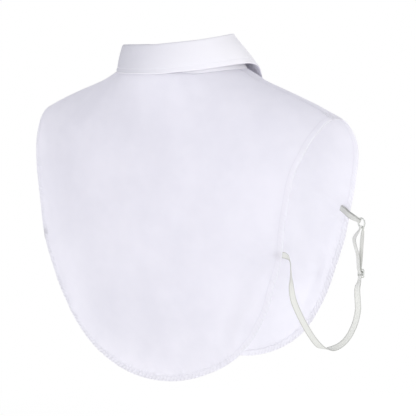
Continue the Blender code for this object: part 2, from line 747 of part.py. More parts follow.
def button_mesh():
    """A turned shirt button with a rim and four holes, lying on its back at the origin."""
    profile = (
        (BUTTON_RADIUS * 0.70, BUTTON_RIM * 0.9),
        (BUTTON_RADIUS * 0.78, BUTTON_THICK),
        (BUTTON_RADIUS * 0.92, BUTTON_THICK),
        (BUTTON_RADIUS, BUTTON_THICK * 0.72),
        (BUTTON_RADIUS, BUTTON_THICK * 0.35),
        (BUTTON_RADIUS * 0.85, 0.0),
    )
    bm = bmesh.new()
    verts = [bm.verts.new((0.0, 0.0, BUTTON_RIM * 0.9))]
    verts += [bm.verts.new((radius, 0.0, up)) for radius, up in profile]
    verts.append(bm.verts.new((0.0, 0.0, 0.0)))
    for a, b in zip(verts, verts[1:]):
        bm.edges.new((a, b))
    mesh = bpy.data.meshes.new("button_profile")
    bm.to_mesh(mesh)
    bm.free()
    blank = bpy.data.objects.new("button_blank", mesh)
    bpy.data.collections[COLLECTION].objects.link(blank)
    turned = blank.modifiers.new("turned", "SCREW")
    turned.steps = turned.render_steps = BUTTON_STEPS
    turned.use_merge_vertices = True
    turned.merge_threshold = 0.00001
    cutter_bm = bmesh.new()
    for corner in range(4):
        turn = math.pi / 4.0 + corner * math.pi / 2.0
        where = Vector((math.cos(turn), math.sin(turn), 0.0)) * HOLE_OFFSET * math.sqrt(2.0)
        bmesh.ops.create_cone(cutter_bm, cap_ends=True, segments=HOLE_STEPS, radius1=HOLE_RADIUS, radius2=HOLE_RADIUS,
                              depth=0.01, matrix=Matrix.Translation(where))
    cutter_mesh = bpy.data.meshes.new("button_holes")
    cutter_bm.to_mesh(cutter_mesh)
    cutter_bm.free()
    cutter = bpy.data.objects.new("button_holes", cutter_mesh)
    bpy.data.collections[CUTTERS].objects.link(cutter)
    cutter.hide_render = True
    cutter.display_type = "WIRE"
    holes = blank.modifiers.new("holes", "BOOLEAN")
    holes.object = cutter
    holes.operation = "DIFFERENCE"
    graph = bpy.context.evaluated_depsgraph_get()
    finished = bpy.data.meshes.new_from_object(blank.evaluated_get(graph))
    bpy.data.objects.remove(blank)
    return finished


def build_buttons():
    """Four buttons down the placket and one on the stand, all from one mesh."""
    mesh = button_mesh()
    lift = LAP + PLACKET_GAP + PLACKET_CLOTH + GAP * 1.6
    for number, up in enumerate(BUTTON_UPS, start=2):
        down = down_at_up(0.0, up, FRONT)
        out = world(*outward(0.0, down, FRONT))
        place_button(f"button_{number}", mesh, cloth(0.0, down, FRONT, lift), out)
    low = stand_place((180.0 / STAND_END + 1.0) / 2.0, 0.0)
    high = stand_place((180.0 / STAND_END + 1.0) / 2.0, 1.0)
    share = (STAND_BUTTON_UP - low.z) / (high.z - low.z)
    out = (high - low).normalized().cross(Vector((1.0, 0.0, 0.0))).normalized()
    if out.y > 0.0:
        out = -out
    centre = low.lerp(high, share) + out * (COLLAR_CLOTH / 2.0 + GAP * 1.3)
    place_button("button_1", mesh, centre, out)


def place_button(name, mesh, where, out):
    """Puts a button on the cloth with its face along a direction."""
    piece = new_object(name, mesh.copy(), BUTTON_COLOUR)
    piece.matrix_world = Matrix.Translation(where) @ out.to_track_quat("Z", "Y").to_matrix().to_4x4()


def smooth_route(points, spacing):
    """Places along a smooth line through points given as equal-length rows of numbers."""
    points = [np.array(point, dtype=float) for point in points]
    out = []
    for i in range(len(points) - 1):
        a, b = points[max(i - 1, 0)], points[i]
        c, d = points[i + 1], points[min(i + 2, len(points) - 1)]
        count = max(int(math.ceil(np.linalg.norm((c - b)[:3]) / spacing)), 1)
        for k in range(count):
            t = k / count
            out.append(b + 0.5 * t * ((c - a) + t * ((2 * a - 5 * b + 4 * c - d) + t * (3 * (b - c) + d - a))))
    out.append(points[-1])
    return out


def ribbon(name, places, widths, mirrored):
    """A flat braid along places (right, forward, up), with a width and its direction at each."""
    sign = -1.0 if mirrored else 1.0
    places = [world(sign * p[0], p[1], p[2]) for p in places]
    across = [world(sign * w[0], w[1], w[2]) for w in widths]
    last = len(places) - 1

    def place(along, side):
        i = round(along * last)
        tangent = (places[min(i + 1, last)] - places[max(i - 1, 0)]).normalized()
        width = across[i] - tangent * across[i].dot(tangent)
        half = width.normalized() * across[i].length * 0.5
        return places[i] + half * (2.0 * side - 1.0)

    piece = sheet(name, last, 1, place, STRAP_THICK, Vector((1.0, 0.0, 0.0)))
    piece.data.materials[0].node_tree.nodes["Principled BSDF"].inputs["Base Color"].default_value = (
        *STRAP_COLOUR, 1.0)
    return piece


def from_slider(up, out):
    """A place given from the slider's centre, up and out from its plate."""
    return Vector(SLIDER_CENTRE) + Vector((0.0, 0.0, up)) + Vector(STRAP_OUT) * out


def build_strap(side_name, mirrored):
    """One elastic strap with its slider, ring and tab; the left one hangs closer to the body."""
    sway = LEFT_STRAP_SWAY if mirrored else 0.0
    rows = [*RUN.rows, *((*from_slider(up, out), *STRAP_ACROSS) for up, out in RUN_END.rows)]
    route = smooth_route(rows, RUN_SPACING)
    places, widths = [], []
    for point in route:
        hang = max(0.0, (SWAY_TOP - point[2]) / SWAY_DROP)
        hang *= min(max((SWAY_FRONT - point[1]) / SWAY_FADE, 0.0), 1.0)
        places.append((point[0] - sway * hang, point[1], point[2]))
        width = Vector(point[3:]).normalized() * STRAP_WIDTH
        near_slider = min(max((point[2] - SLIDER_CENTRE[2] + 0.012) / 0.006, 0.0), 1.0)
        widths.append(width * (1.0 - 0.12 * near_slider) if point[1] > 0.060 else width)
    ribbon(f"strap_{side_name}_run", places, widths, mirrored)

    loop = smooth_route([(*from_slider(up, out),) for up, out in LOOP.rows], LOOP_SPACING)
    ring_foot = RING_CENTRE[2] - RING_RADIUS
    widths = []
    for point in loop:
        gather = math.exp(-((point[2] - ring_foot) / 0.0045) ** 2)
        widths.append(Vector(STRAP_ACROSS).normalized() * STRAP_WIDTH * (0.90 - 0.40 * gather))
    ribbon(f"strap_{side_name}_loop", loop, widths, mirrored)
    build_tab(side_name, mirrored)
    build_ring(side_name, mirrored)
    build_slider(side_name, mirrored)


def build_tab(side_name, mirrored):
    """The folded tab: out from its bar tack, round the ring and back, as one braid."""
    towards = (Vector(STRAP_ACROSS).normalized() * 0.887 - Vector((0.0, 0.0, 0.464))).normalized()
    out = Vector(STRAP_OUT).normalized()
    eye = Vector(RING_CENTRE) - towards * RING_RADIUS
    turn_radius = RING_WIRE + GAP * 2.0 + STRAP_THICK / 2.0
    lower = [Vector(row) + out * split for row, split in zip(TAB.rows, TAB_SPLIT)]
    upper = [Vector(row) - out * split for row, split in zip(TAB.rows, TAB_SPLIT)]
    bend = []
    for step in range(7):
        turn = math.radians(90.0 - 180.0 * step / 6)
        bend.append(eye + (out * math.sin(turn) + towards * math.cos(turn)) * turn_radius)
    route = smooth_route(lower + bend + upper[::-1], LOOP_SPACING)
    across = towards.cross(out).normalized()
    widths = []
    for point in route:
        gather = math.exp(-((Vector(point) - eye).length / 0.0045) ** 2)
        widths.append(across * STRAP_WIDTH * (0.98 - 0.46 * gather))
    ribbon(f"strap_{side_name}_tab", route, widths, mirrored)


def strap_frame(centre, mirrored):
    """The axes of a slider or a ring: X across the braid, Y up, Z out of it."""
    sign = -1.0 if mirrored else 1.0
    across = world(sign * STRAP_ACROSS[0], STRAP_ACROSS[1], 0.0).normalized()
    up = Vector((0.0, 0.0, 1.0))
    turn = Matrix((across, up, across.cross(up))).transposed().to_4x4()
    return Matrix.Translation(world(sign * centre[0], centre[1], centre[2])) @ turn


def build_ring(side_name, mirrored):
    """The plastic ring between the tab and the doubled braid."""
    bpy.ops.mesh.primitive_torus_add(major_radius=RING_RADIUS, minor_radius=RING_WIRE, major_segments=RING_STEPS,
                                     minor_segments=RING_SIDES)
    mesh = bpy.context.active_object.data
    bpy.data.objects.remove(bpy.context.active_object)
    piece = new_object(f"ring_{side_name}", mesh, PLASTIC_COLOUR)
    piece.matrix_world = strap_frame(RING_CENTRE, mirrored)
    mesh.shade_smooth()


def rounded_box(width, height, radius, centre, steps=3):
    """The corners of a rounded rectangle, anticlockwise."""
    points = []
    for corner in range(4):
        turn = math.pi / 2.0 * corner
        cx = (width / 2.0 - radius) * (1.0 if corner in (0, 3) else -1.0)
        cy = (height / 2.0 - radius) * (1.0 if corner in (0, 1) else -1.0) + centre
        for step in range(steps + 1):
            a = turn + math.pi / 2.0 * step / steps
            points.append((cx + radius * math.cos(a), cy + radius * math.sin(a)))
    return points


def build_slider(side_name, mirrored):
    """The slider: a flat plate with two slots and a bar between them."""
    curve = bpy.data.curves.new(f"slider_{side_name}", "CURVE")
    curve.dimensions = "2D"
    curve.fill_mode = "BOTH"
    curve.extrude = SLIDER_THICK / 2.0
    outlines = [rounded_box(SLIDER_WIDTH, SLIDER_HEIGHT, 0.0018, 0.0)]
    outlines += [rounded_box(SLOT_WIDTH, SLOT_HEIGHT, 0.0006, middle) for middle in (SLOT_OFFSET, -SLOT_OFFSET)]
    for outline in outlines:
        spline = curve.splines.new("POLY")
        spline.points.add(len(outline) - 1)
        for point, (x, y) in zip(spline.points, outline):
            point.co = (x, y, 0.0, 1.0)
        spline.use_cyclic_u = True
    holder = bpy.data.objects.new("slider_outline", curve)
    bpy.data.collections[COLLECTION].objects.link(holder)
    graph = bpy.context.evaluated_depsgraph_get()
    mesh = bpy.data.meshes.new_from_object(holder.evaluated_get(graph))
    bpy.data.objects.remove(holder)
    bm = bmesh.new()
    bm.from_mesh(mesh)
    bmesh.ops.remove_doubles(bm, verts=bm.verts[:], dist=0.00001)
    bmesh.ops.recalc_face_normals(bm, faces=bm.faces[:])
    bm.to_mesh(mesh)
    bm.free()
    piece = new_object(f"slider_{side_name}", mesh, PLASTIC_COLOUR)
    piece.matrix_world = strap_frame(SLIDER_CENTRE, mirrored)


def main():
    """Builds the whole garment."""
    for old in list(bpy.data.objects):
        bpy.data.objects.remove(old, do_unlink=True)
    for name in (COLLECTION, CUTTERS):
        bpy.context.scene.collection.children.link(bpy.data.collections.new(name))
    build_panels()
    build_collar()
    build_buttons()
    build_strap("right", False)
    build_strap("left", True)


main()
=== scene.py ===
"""Detachable shirt collar: a white cotton half shirt with a turned-down collar, dressed for its picture.

Run as a script in Blender 4.5. Places are first worked out as (right, forward, up) in metres: right is
towards the wearer's right arm and forward is towards the chest. The function world turns them into
Blender's axes.
"""
import math
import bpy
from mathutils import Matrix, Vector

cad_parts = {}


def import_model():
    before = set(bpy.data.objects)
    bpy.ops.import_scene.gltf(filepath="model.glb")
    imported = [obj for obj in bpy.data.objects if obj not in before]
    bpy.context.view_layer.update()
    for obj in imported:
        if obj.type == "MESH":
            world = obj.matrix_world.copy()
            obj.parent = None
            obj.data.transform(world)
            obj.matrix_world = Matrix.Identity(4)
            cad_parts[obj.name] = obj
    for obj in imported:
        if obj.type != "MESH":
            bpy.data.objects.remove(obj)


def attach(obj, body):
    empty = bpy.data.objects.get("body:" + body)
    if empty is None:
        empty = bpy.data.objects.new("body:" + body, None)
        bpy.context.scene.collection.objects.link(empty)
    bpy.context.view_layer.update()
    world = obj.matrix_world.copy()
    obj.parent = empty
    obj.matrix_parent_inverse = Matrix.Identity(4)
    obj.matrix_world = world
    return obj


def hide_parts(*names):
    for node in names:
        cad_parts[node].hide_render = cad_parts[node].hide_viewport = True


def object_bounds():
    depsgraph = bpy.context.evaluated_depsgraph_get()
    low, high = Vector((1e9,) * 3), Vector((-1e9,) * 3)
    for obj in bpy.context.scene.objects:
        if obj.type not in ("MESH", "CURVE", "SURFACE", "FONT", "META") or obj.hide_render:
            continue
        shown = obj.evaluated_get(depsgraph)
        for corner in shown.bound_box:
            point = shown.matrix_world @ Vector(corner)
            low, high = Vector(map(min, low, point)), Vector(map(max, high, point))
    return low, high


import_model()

from types import SimpleNamespace

import bmesh
import bpy
import numpy as np
from bpy.props import FloatProperty, FloatVectorProperty, PointerProperty
from mathutils import Matrix, Vector, geometry

bl_info = {
    "name": "Detachable Shirt Collar",
    "version": (1, 0, 0),
    "blender": (4, 5, 0),
    "location": "View3D > Sidebar > Collar",
    "description": "Makes a white cotton half shirt with a turned-down collar, worn form with no wearer",
    "category": "Object",
}

CAD_BOX = [list(corner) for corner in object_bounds()]


class Table:
    """Rows of numbers with named columns."""

    def __init__(self, columns, rows, level_start=False):
        """Keeps the rows, and in rising order of the first column for reading between them."""
        self.columns = columns.split()
        self.rows = rows
        self.data = np.array(rows if rows[0][0] <= rows[-1][0] else rows[::-1], dtype=float)
        self.level_start = level_start

    def named(self):
        """Each row as a set of named numbers."""
        return [SimpleNamespace(**dict(zip(self.columns, row))) for row in self.rows]

    def at(self, where, column):
        """Reads one column at values of the first column, along a smooth line through the rows."""
        x, y = self.data[:, 0], self.data[:, self.columns.index(column)]
        where = np.clip(where, x[0], x[-1])
        k = np.clip(np.searchsorted(x, where) - 1, 0, len(x) - 2)
        slopes = np.diff(y) / np.diff(x)
        before = np.concatenate(([0.0 if self.level_start else slopes[0]], slopes))
        after = np.concatenate((slopes, slopes[-1:]))
        both = before * after > 0.0
        tangent = np.where(both, 2.0 * before * after / np.where(both, before + after, 1.0), 0.0)
        width, rise = x[k + 1] - x[k], y[k + 1] - y[k]
        t = (where - x[k]) / width
        start, end = tangent[k] * width, tangent[k + 1] * width
        return y[k] + t * (start + t * (3 * rise - 2 * start - end + t * (start + end - 2 * rise)))


# The collar's doubled cloth, and the gap between pieces at a seam
COLLAR_CLOTH = 0.0013
GAP = 0.0003

# The general figure under the cloth, by distance from the centre line: where the top of the shoulder
# lies, how far forward it is, and how square the cloth turns over it to the back and to the chest
SHOULDER = Table("right up forward back_fullness front_fullness", (
    (0.000, 0.0240, 0.0120, 4.00, 1.33),
    (0.030, 0.0180, 0.0130, 3.50, 1.45),
    (0.046, 0.0120, 0.0145, 3.00, 1.62),
    (0.066, 0.0034, 0.0150, 2.70, 1.78),
    (0.085, -0.0058, 0.0120, 2.50, 1.82),
    (0.104, -0.0125, 0.0100, 2.30, 1.84),
    (0.127, -0.0202, 0.0070, 2.05, 1.85),
    (0.147, -0.0277, 0.0060, 1.95, 1.88),
    (0.161, -0.0336, 0.0050, 1.90, 1.90),
    (0.1735, -0.0394, 0.0050, 1.85, 1.92),
    (0.188, -0.0470, 0.0050, 1.85, 1.94),
), level_start=True)

# How high the shoulder blades and the chest lie, and the radius of the figure's curve across each
BLADE_LEVEL = -0.105
CHEST_LEVEL = -0.150
BACK_ROUNDNESS = 0.400
CHEST_ROUNDNESS = 0.500

# The centre line seen from the side, below the blades and below the chest
BACK_PROFILE = Table("up forward", (
    (-0.105, -0.0725),
    (-0.140, -0.0716),
    (-0.165, -0.0697),
    (-0.190, -0.0665),
    (-0.215, -0.0617),
    (-0.240, -0.0565),
    (-0.270, -0.0510),
    (-0.305, -0.0465),
))
FRONT_PROFILE = Table("up forward", (
    (-0.150, 0.1000),
    (-0.190, 0.0975),
    (-0.220, 0.0925),
    (-0.250, 0.0855),
    (-0.300, 0.0740),
))

# The cut edge of the back and of the fronts below the shoulder seam: half width at each height
BACK_EDGE = Table("up half_width", (
    (-0.0403, 0.1742),
    (-0.0441, 0.1716),
    (-0.0507, 0.1694),
    (-0.0602, 0.1659),
    (-0.0741, 0.1617),
    (-0.0863, 0.1577),
    (-0.1051, 0.1538),
    (-0.1228, 0.1509),
    (-0.1415, 0.1480),
    (-0.1637, 0.1457),
    (-0.1757, 0.1433),
    (-0.1882, 0.1392),
    (-0.2021, 0.1342),
    (-0.2152, 0.1300),
    (-0.2262, 0.1251),
    (-0.2386, 0.1180),
    (-0.2491, 0.1115),
    (-0.2565, 0.1055),
    (-0.2690, 0.0940),
    (-0.2762, 0.0850),
    (-0.2828, 0.0745),
    (-0.2892, 0.0615),
    (-0.2964, 0.0423),
    (-0.3012, 0.0200),
    (-0.3025, 0.0000),
))
FRONT_EDGE = Table("up half_width", (
    (-0.0403, 0.1742),
    (-0.0430, 0.1743),
    (-0.0475, 0.1745),
    (-0.0541, 0.1746),
    (-0.0607, 0.1744),
    (-0.0687, 0.1732),
    (-0.0789, 0.1702),
    (-0.0994, 0.1621),
    (-0.1250, 0.1530),
    (-0.1374, 0.1488),
    (-0.1550, 0.1447),
    (-0.1659, 0.1420),
    (-0.1815, 0.1366),
    (-0.1952, 0.1316),
    (-0.2134, 0.1262),
    (-0.2333, 0.1180),
    (-0.2548, 0.1055),
    (-0.2761, 0.0829),
    (-0.2904, 0.0534),
    (-0.2965, 0.0270),
    (-0.2985, 0.0000),
))

# Rings of the neck seam and of the collar's fold, by angle from the centre back
NECK = Table("angle seam_radius fold_radius", (
    (0.0, 0.0600, 0.0570),
    (30.0, 0.0605, 0.0575),
    (55.0, 0.0620, 0.0580),
    (80.0, 0.0645, 0.0578),
    (98.0, 0.0665, 0.0566),
    (112.0, 0.0680, 0.0535),
    (125.0, 0.0660, 0.0520),
    (150.0, 0.0630, 0.0545),
    (180.0, 0.0640, 0.0600),
), level_start=True)

# The shoulder seam: its angle at the neck, and its tip's place in plan as (right, forward)
SHOULDER_SEAM_ANGLE = 95.0
SHOULDER_TIP = (0.1742, -0.0005)

# The two sides of the figure, which are also the signs used in its formulas
BACK = 1
FRONT = -1

# Half the gap at the shoulder seam, and how far the fronts reach past the centre
SEAM_SPLIT = GAP * 1.3
SPLIT_ANGLE = math.degrees(SEAM_SPLIT / float(NECK.at(SHOULDER_SEAM_ANGLE, "seam_radius")))
OVERLAP = 0.013

# How far the right front lies out from the left one, and how far from the centre it starts to fade and
# has ended
LAP = 0.0027
LAP_FULL = 0.022
LAP_NONE = 0.070

# The placket: half its width, its cloth, the gap under it, how far in from its edges it is stitched, and
# its rows and columns of points
PLACKET_HALF = 0.0125
PLACKET_CLOTH = 0.0011
PLACKET_GAP = 0.0006
PLACKET_STITCH = 0.0035
PLACKET_ROWS = 260
PLACKET_COLUMNS = 27

# How finely the panels are filled: steps along their edges, the spacing inside, the rows' share of that,
# and how many places are measured in one go
NECK_STEPS = 170
SEAM_STEPS = 70
EDGE_STEPS = 230
CENTRE_STEPS = 150
FILL_SPACING = 0.0027
FILL_ROW_SHARE = 0.866
MEASURED_AT_ONCE = 1500

# The largest folds: which panel, from where to where, half width, and how far they stand out
FOLDS = Table("side right_a up_a right_b up_b width lift", (
    (BACK, 0.121, -0.196, 0.090, -0.262, 0.0085, 0.0022),
    (BACK, 0.103, -0.188, 0.078, -0.256, 0.0090, -0.0020),
    (BACK, -0.118, -0.190, -0.096, -0.256, 0.0095, 0.0018),
    (BACK, 0.070, -0.100, 0.020, -0.190, 0.0260, -0.0012),
    (FRONT, 0.112, -0.185, 0.086, -0.256, 0.0090, 0.0020),
    (FRONT, -0.112, -0.185, -0.086, -0.256, 0.0090, 0.0020),
    (FRONT, 0.060, -0.090, 0.046, -0.210, 0.0150, 0.0015),
    (FRONT, -0.060, -0.090, -0.046, -0.210, 0.0150, 0.0015),
))

# A fold keeps its height for this share of its length each way from its middle, and then fades
FOLD_FULL = 0.30
FOLD_FADE = 0.22

# The collar, by angle from the centre back: the fold's height, how far the fall drops below it, half of
# how far the right side stands above the left, how far out the lower edge stands, and how far it lies
# from the fold in angle
COLLAR = Table("angle fold_up drop lean edge_radius edge_turn", (
    (0.0, 0.0272, 0.0290, 0.0000, 0.0630, 0.0),
    (30.0, 0.0281, 0.0286, 0.0015, 0.0632, 0.0),
    (55.0, 0.0294, 0.0284, 0.0029, 0.0636, 0.0),
    (80.0, 0.0310, 0.0282, 0.0046, 0.0678, 0.0),
    (98.0, 0.0318, 0.0283, 0.0055, 0.0740, 0.0),
    (112.0, 0.0313, 0.0305, 0.0050, 0.0775, 1.0),
    (125.0, 0.0268, 0.0368, 0.0034, 0.0800, 3.0),
    (150.0, 0.0010, 0.0490, 0.0016, 0.0870, 9.0),
    (174.0, -0.0205, 0.0600, 0.0000, 0.0960, 19.0),
), level_start=True)

# Where the fall ends, how far it is kept from the panels, how far its leaf bellies out, and how many of
# its points across lie inside the fold, where no stitch shows
COLLAR_END = 172.0
COLLAR_CLEAR = 0.0019
LEAF_BELLY = 0.0008
FALL_TURN = 12

# The fold's section over the stand's top edge: out from the fold's radius, and up from its height
FOLD_SECTION = Table("out up", (
    (-0.0029, -0.0042),
    (-0.0028, -0.0020),
    (-0.0018, -0.0008),
    (-0.0006, -0.0007),
    (0.0002, -0.0022),
))

# The stand: its ends pass the centre front and lap, the right one outside
STAND_END = 190.0
STAND_LAP = 0.0024
STAND_TOP_IN = 0.0029
STAND_TOP_DOWN = 0.0056
STAND_END_ROUND = 0.009

# Buttons: four down the placket and one on the stand, half of a buttonhole's length, the radius of the
# thread that holds a button, and half the gap between the two strands in one pair of holes
BUTTON_RADIUS = 0.0055
BUTTON_THICK = 0.0022
HOLE_RADIUS = 0.0008
HOLE_OFFSET = 0.0013
BUTTON_UPS = (-0.074, -0.132, -0.190, -0.248)
STAND_BUTTON_UP = -0.0385
BUTTONHOLE_HALF = 0.0075
BUTTON_THREAD = 0.00019
STRAND_SHIFT = 0.00022

# Elastic straps: flat braid sewn to the back's edge, with a slider, a ring and a tab inside the front's edge
STRAP_WIDTH = 0.006
STRAP_THICK = 0.0009
LOOP_THICK = STRAP_THICK * 0.92
LOOP_SPACING = 0.0010
RING_RADIUS = 0.0048
RING_WIRE = 0.0008
RING_CENTRE = (0.1635, 0.0740, -0.1467)
SLIDER_CENTRE = (0.1635, 0.0740, -0.1963)
SLIDER_WIDTH = 0.0096
SLIDER_HEIGHT = 0.0092
SLIDER_THICK = 0.0012
SLIDER_CORNER = 0.0016
SLOT_WIDTH = 0.0070
SLOT_HEIGHT = 0.0026
SLOT_OFFSET = 0.0021
SLOT_CORNER = 0.0009

# The braid's directions at the slider: across its width and out from its face. The tab runs towards the
# ring by these shares of across and down. Braid is gathered this far each way where it rounds a ring.
STRAP_ACROSS = (0.93, -0.37, 0.0)
STRAP_OUT = (0.37, 0.93, 0.0)
TAB_SLANT = (0.887, 0.464)
GATHER = 0.0045

# The long run from the back's edge to the slider: the route, and the direction of the braid's width there
RUN = Table("right forward up width_right width_forward width_up", (
    (0.1370, -0.0434, -0.1655, 0.0, 0.0, 1.0),
    (0.1415, -0.0416, -0.1655, 0.0, 0.0, 1.0),
    (0.1460, -0.0390, -0.1662, -0.2, 0.3, 0.9),
    (0.1485, -0.0355, -0.1695, -0.45, 0.6, 0.5),
    (0.1488, -0.0335, -0.1765, -0.574, 0.819, 0.1),
    (0.1478, -0.0310, -0.1885, -0.20, 0.95, 0.1),
    (0.1471, -0.0287, -0.1994, 0.45, 0.85, 0.2),
    (0.1478, -0.0246, -0.2130, 0.65, 0.62, 0.30),
    (0.1502, -0.0095, -0.2363, 0.66, 0.50, 0.45),
    (0.1528, 0.0068, -0.2552, 0.55, 0.42, 0.72),
    (0.1549, 0.0187, -0.2630, 0.98, -0.15, 0.20),
    (0.1576, 0.0315, -0.2650, 0.70, 0.10, -0.70),
    (0.1599, 0.0442, -0.2626, 0.55, 0.31, -0.77),
    (0.1618, 0.0550, -0.2560, 0.68, 0.42, -0.58),
    (0.1632, 0.0638, -0.2450, 0.78, 0.51, -0.35),
    (0.1637, 0.0684, -0.2325, 0.83, 0.53, -0.20),
    (0.1632, 0.0684, -0.2219, 0.85, 0.50, -0.10),
    (0.1626, 0.0686, -0.2115, 0.93, 0.20, 0.0),
))

# The run's last stretch, through the slider's lower slot: up and out from the slider's centre
RUN_END = Table("up out", (
    (-0.0085, -0.0022),
    (-0.0045, -0.0015),
    (-0.0031, -0.0013),
    (-0.0021, 0.0000),
    (-0.0011, 0.0014),
    (-0.0003, 0.0015),
))

# The doubled part: from over the slider's middle bar up to the ring, round it, and back down to the bar
LOOP = Table("up out", (
    (0.0004, 0.0015),
    (0.0011, 0.0014),
    (0.0019, 0.0006),
    (0.0023, -0.0006),
    (0.0032, -0.0014),
    (0.0048, -0.0015),
    (0.0080, -0.0011),
    (0.0160, -0.0003),
    (0.0280, 0.0004),
    (0.0380, 0.0012),
    (0.0425, 0.0019),
    (0.0448, 0.0019),
    (0.0461, 0.0013),
    (0.0466, 0.0000),
    (0.0461, -0.0013),
    (0.0448, -0.0019),
    (0.0425, -0.0030),
    (0.0395, -0.0060),
    (0.0360, -0.0085),
    (0.0330, -0.0090),
    (0.0280, -0.0078),
    (0.0220, -0.0055),
    (0.0160, -0.0040),
    (0.0100, -0.0034),
    (0.0055, -0.0031),
    (0.0036, -0.0028),
    (0.0022, -0.0023),
    (0.0011, -0.0016),
    (0.0000, -0.0015),
    (-0.0010, -0.0015),
))

# The tab's middle line, from its bar tack inside the front's edge to the ring, and half the gap between
# its two layers there
TAB = Table("right forward up", (
    (0.1390, 0.0762, -0.1335),
    (0.1440, 0.0748, -0.1360),
    (0.1490, 0.0732, -0.1388),
    (0.1540, 0.0735, -0.1415),
))
TAB_SPLIT = (0.00085, 0.00085, 0.0009, 0.0012)

# How far the left strap hangs wider than the right one, below SWAY_TOP and behind SWAY_FRONT
LEFT_STRAP_SWAY = 0.014
SWAY_TOP = -0.166
SWAY_DROP = 0.095
SWAY_FRONT = 0.066
SWAY_FADE = 0.045

# The run is a little narrower beside the slider: from how far below its centre, over what length, in
# front of where, and by how much
ENTRY_DOWN = 0.012
ENTRY_FADE = 0.006
ENTRY_FRONT = 0.060
ENTRY_NARROW = 0.12

# Only on the dressed cloth: drag lines and small soft creases, by panel
DRAGS = Table("side right_a up_a right_b up_b width lift", (
    (BACK, 0.1400, -0.1600, 0.1130, -0.1480, 0.0028, 0.0006),
    (BACK, 0.1410, -0.1665, 0.1080, -0.1700, 0.0030, -0.0006),
    (BACK, 0.1405, -0.1730, 0.1150, -0.1960, 0.0032, 0.0007),
    (BACK, 0.1370, -0.1790, 0.1240, -0.2120, 0.0030, -0.0006),
    (BACK, 0.1290, -0.1900, 0.1090, -0.2340, 0.0042, 0.0009),
    (BACK, 0.0900, -0.0600, 0.1350, -0.0980, 0.0090, 0.0008),
    (BACK, -0.0500, -0.0300, -0.1150, -0.0700, 0.0110, 0.0008),
    (BACK, -0.0200, -0.0250, -0.0150, -0.0700, 0.0080, -0.0006),
    (BACK, 0.0250, -0.0220, 0.0380, -0.0620, 0.0080, -0.0006),
    (BACK, 0.1460, -0.0900, 0.1350, -0.1500, 0.0060, -0.0007),
    (BACK, -0.1460, -0.0900, -0.1330, -0.1500, 0.0060, -0.0007),
    (BACK, 0.0400, -0.2100, 0.0200, -0.2750, 0.0080, 0.0007),
    (BACK, -0.0450, -0.2100, -0.0300, -0.2750, 0.0080, 0.0007),
    (FRONT, 0.1360, -0.1320, 0.1000, -0.1200, 0.0032, 0.0007),
    (FRONT, 0.1350, -0.1380, 0.1020, -0.1520, 0.0032, -0.0007),
    (FRONT, -0.1360, -0.1320, -0.1000, -0.1200, 0.0032, 0.0007),
    (FRONT, -0.1350, -0.1380, -0.1020, -0.1520, 0.0032, -0.0007),
    (FRONT, 0.1200, -0.0700, 0.0900, -0.1250, 0.0080, 0.0009),
    (FRONT, -0.1200, -0.0700, -0.0900, -0.1250, 0.0080, 0.0009),
    (FRONT, 0.1250, -0.1500, 0.1120, -0.2200, 0.0060, -0.0008),
    (FRONT, -0.1250, -0.1500, -0.1120, -0.2200, 0.0060, -0.0008),
))

# How strongly the hem puckers along its length, as a share of the pucker depth that is set; it also scales
# the puckers' painted shade
PUCKERS = Table("share strength", (
    (0.00, 0.10),
    (0.12, 0.15),
    (0.26, 0.28),
    (0.38, 0.55),
    (0.50, 1.00),
    (0.64, 1.15),
    (0.78, 1.00),
    (0.88, 0.55),
    (1.00, 0.25),
))

# Lines of points along the hem and beside the seams, by distance from them
HEM_LINES = (0.0004, 0.0010, 0.0020, 0.0032, 0.0043, 0.0050, 0.0056, 0.0063, 0.0072, 0.0085, 0.0102, 0.0124)
SEAM_LINES = (0.0007, 0.0013, 0.0019, 0.0027, 0.0042)

# Stitch lines: how far in from a seam and from the hem's inner fold, and the trough that they pull in
SEAM_STITCH = 0.0013
HEM_STITCH_IN = 0.0006
GROOVE_WIDTH = 0.0006
HEM_GROOVE = 0.00030
SEAM_GROOVE = 0.00026
EDGE_GROOVE = 0.00022

# The turned cloth: how far a hem stands up, how wide the allowance inside a seam is and how much it adds,
# how deep and how long the puckers beside a seam are, and how far in from the hem its own are highest
HEM_STEP = 0.00022
SEAM_ALLOWANCE = 0.008
SEAM_EXTRA = 0.0005
SEAM_PUCKER = 0.00016
SEAM_PUCKER_LENGTH = 0.0092
PUCKER_CREST = 0.0035

# The figure's cloth in the collar's fit, and how finely the collar is drawn
FIGURE_CLOTH = 0.0011
FOOT_TUCK = 0.00044
STAND_INSET = GAP * 1.5 + COLLAR_CLOTH / 2.0
STAND_COLUMNS = 330
STAND_LINES = 26
STAND_BELLY = 0.0002
FALL_COLUMNS = 330
FALL_ROWS = 46
LEAF_LINES = 10
COLLAR_STITCH = 0.0050

# Buttons on the placket, and their section as shares of the radius and the thickness
BUTTON_LIFT = LAP + PLACKET_GAP + PLACKET_CLOTH + GAP * 1.6
BUTTON_PROFILE = Table("radius up", (
    (0.00, 0.50),
    (0.30, 0.50),
    (0.52, 0.53),
    (0.66, 0.66),
    (0.76, 0.92),
    (0.86, 1.00),
    (0.95, 0.90),
    (1.00, 0.62),
    (0.98, 0.34),
    (0.86, 0.10),
    (0.60, 0.00),
    (0.00, 0.00),
))

# Braid and weave: the points round a braid and along it, the pitches of its ribs, its strands and the
# cloth's threads, how far the strands slant, where the darker selvedge starts and how fast, and the
# rounding of the slider's edges
BRAID_SIDES = 18
BRAID_SPACING = 0.0016
BRAID_RIB = 0.00075
BRAID_PITCH = 0.0013
BRAID_SLANT = 1.1
SELVEDGE = 0.0019
SELVEDGE_SLOPE = 1600.0
WEAVE_PITCH = 0.00042
SLIDER_ROUND = 0.00035
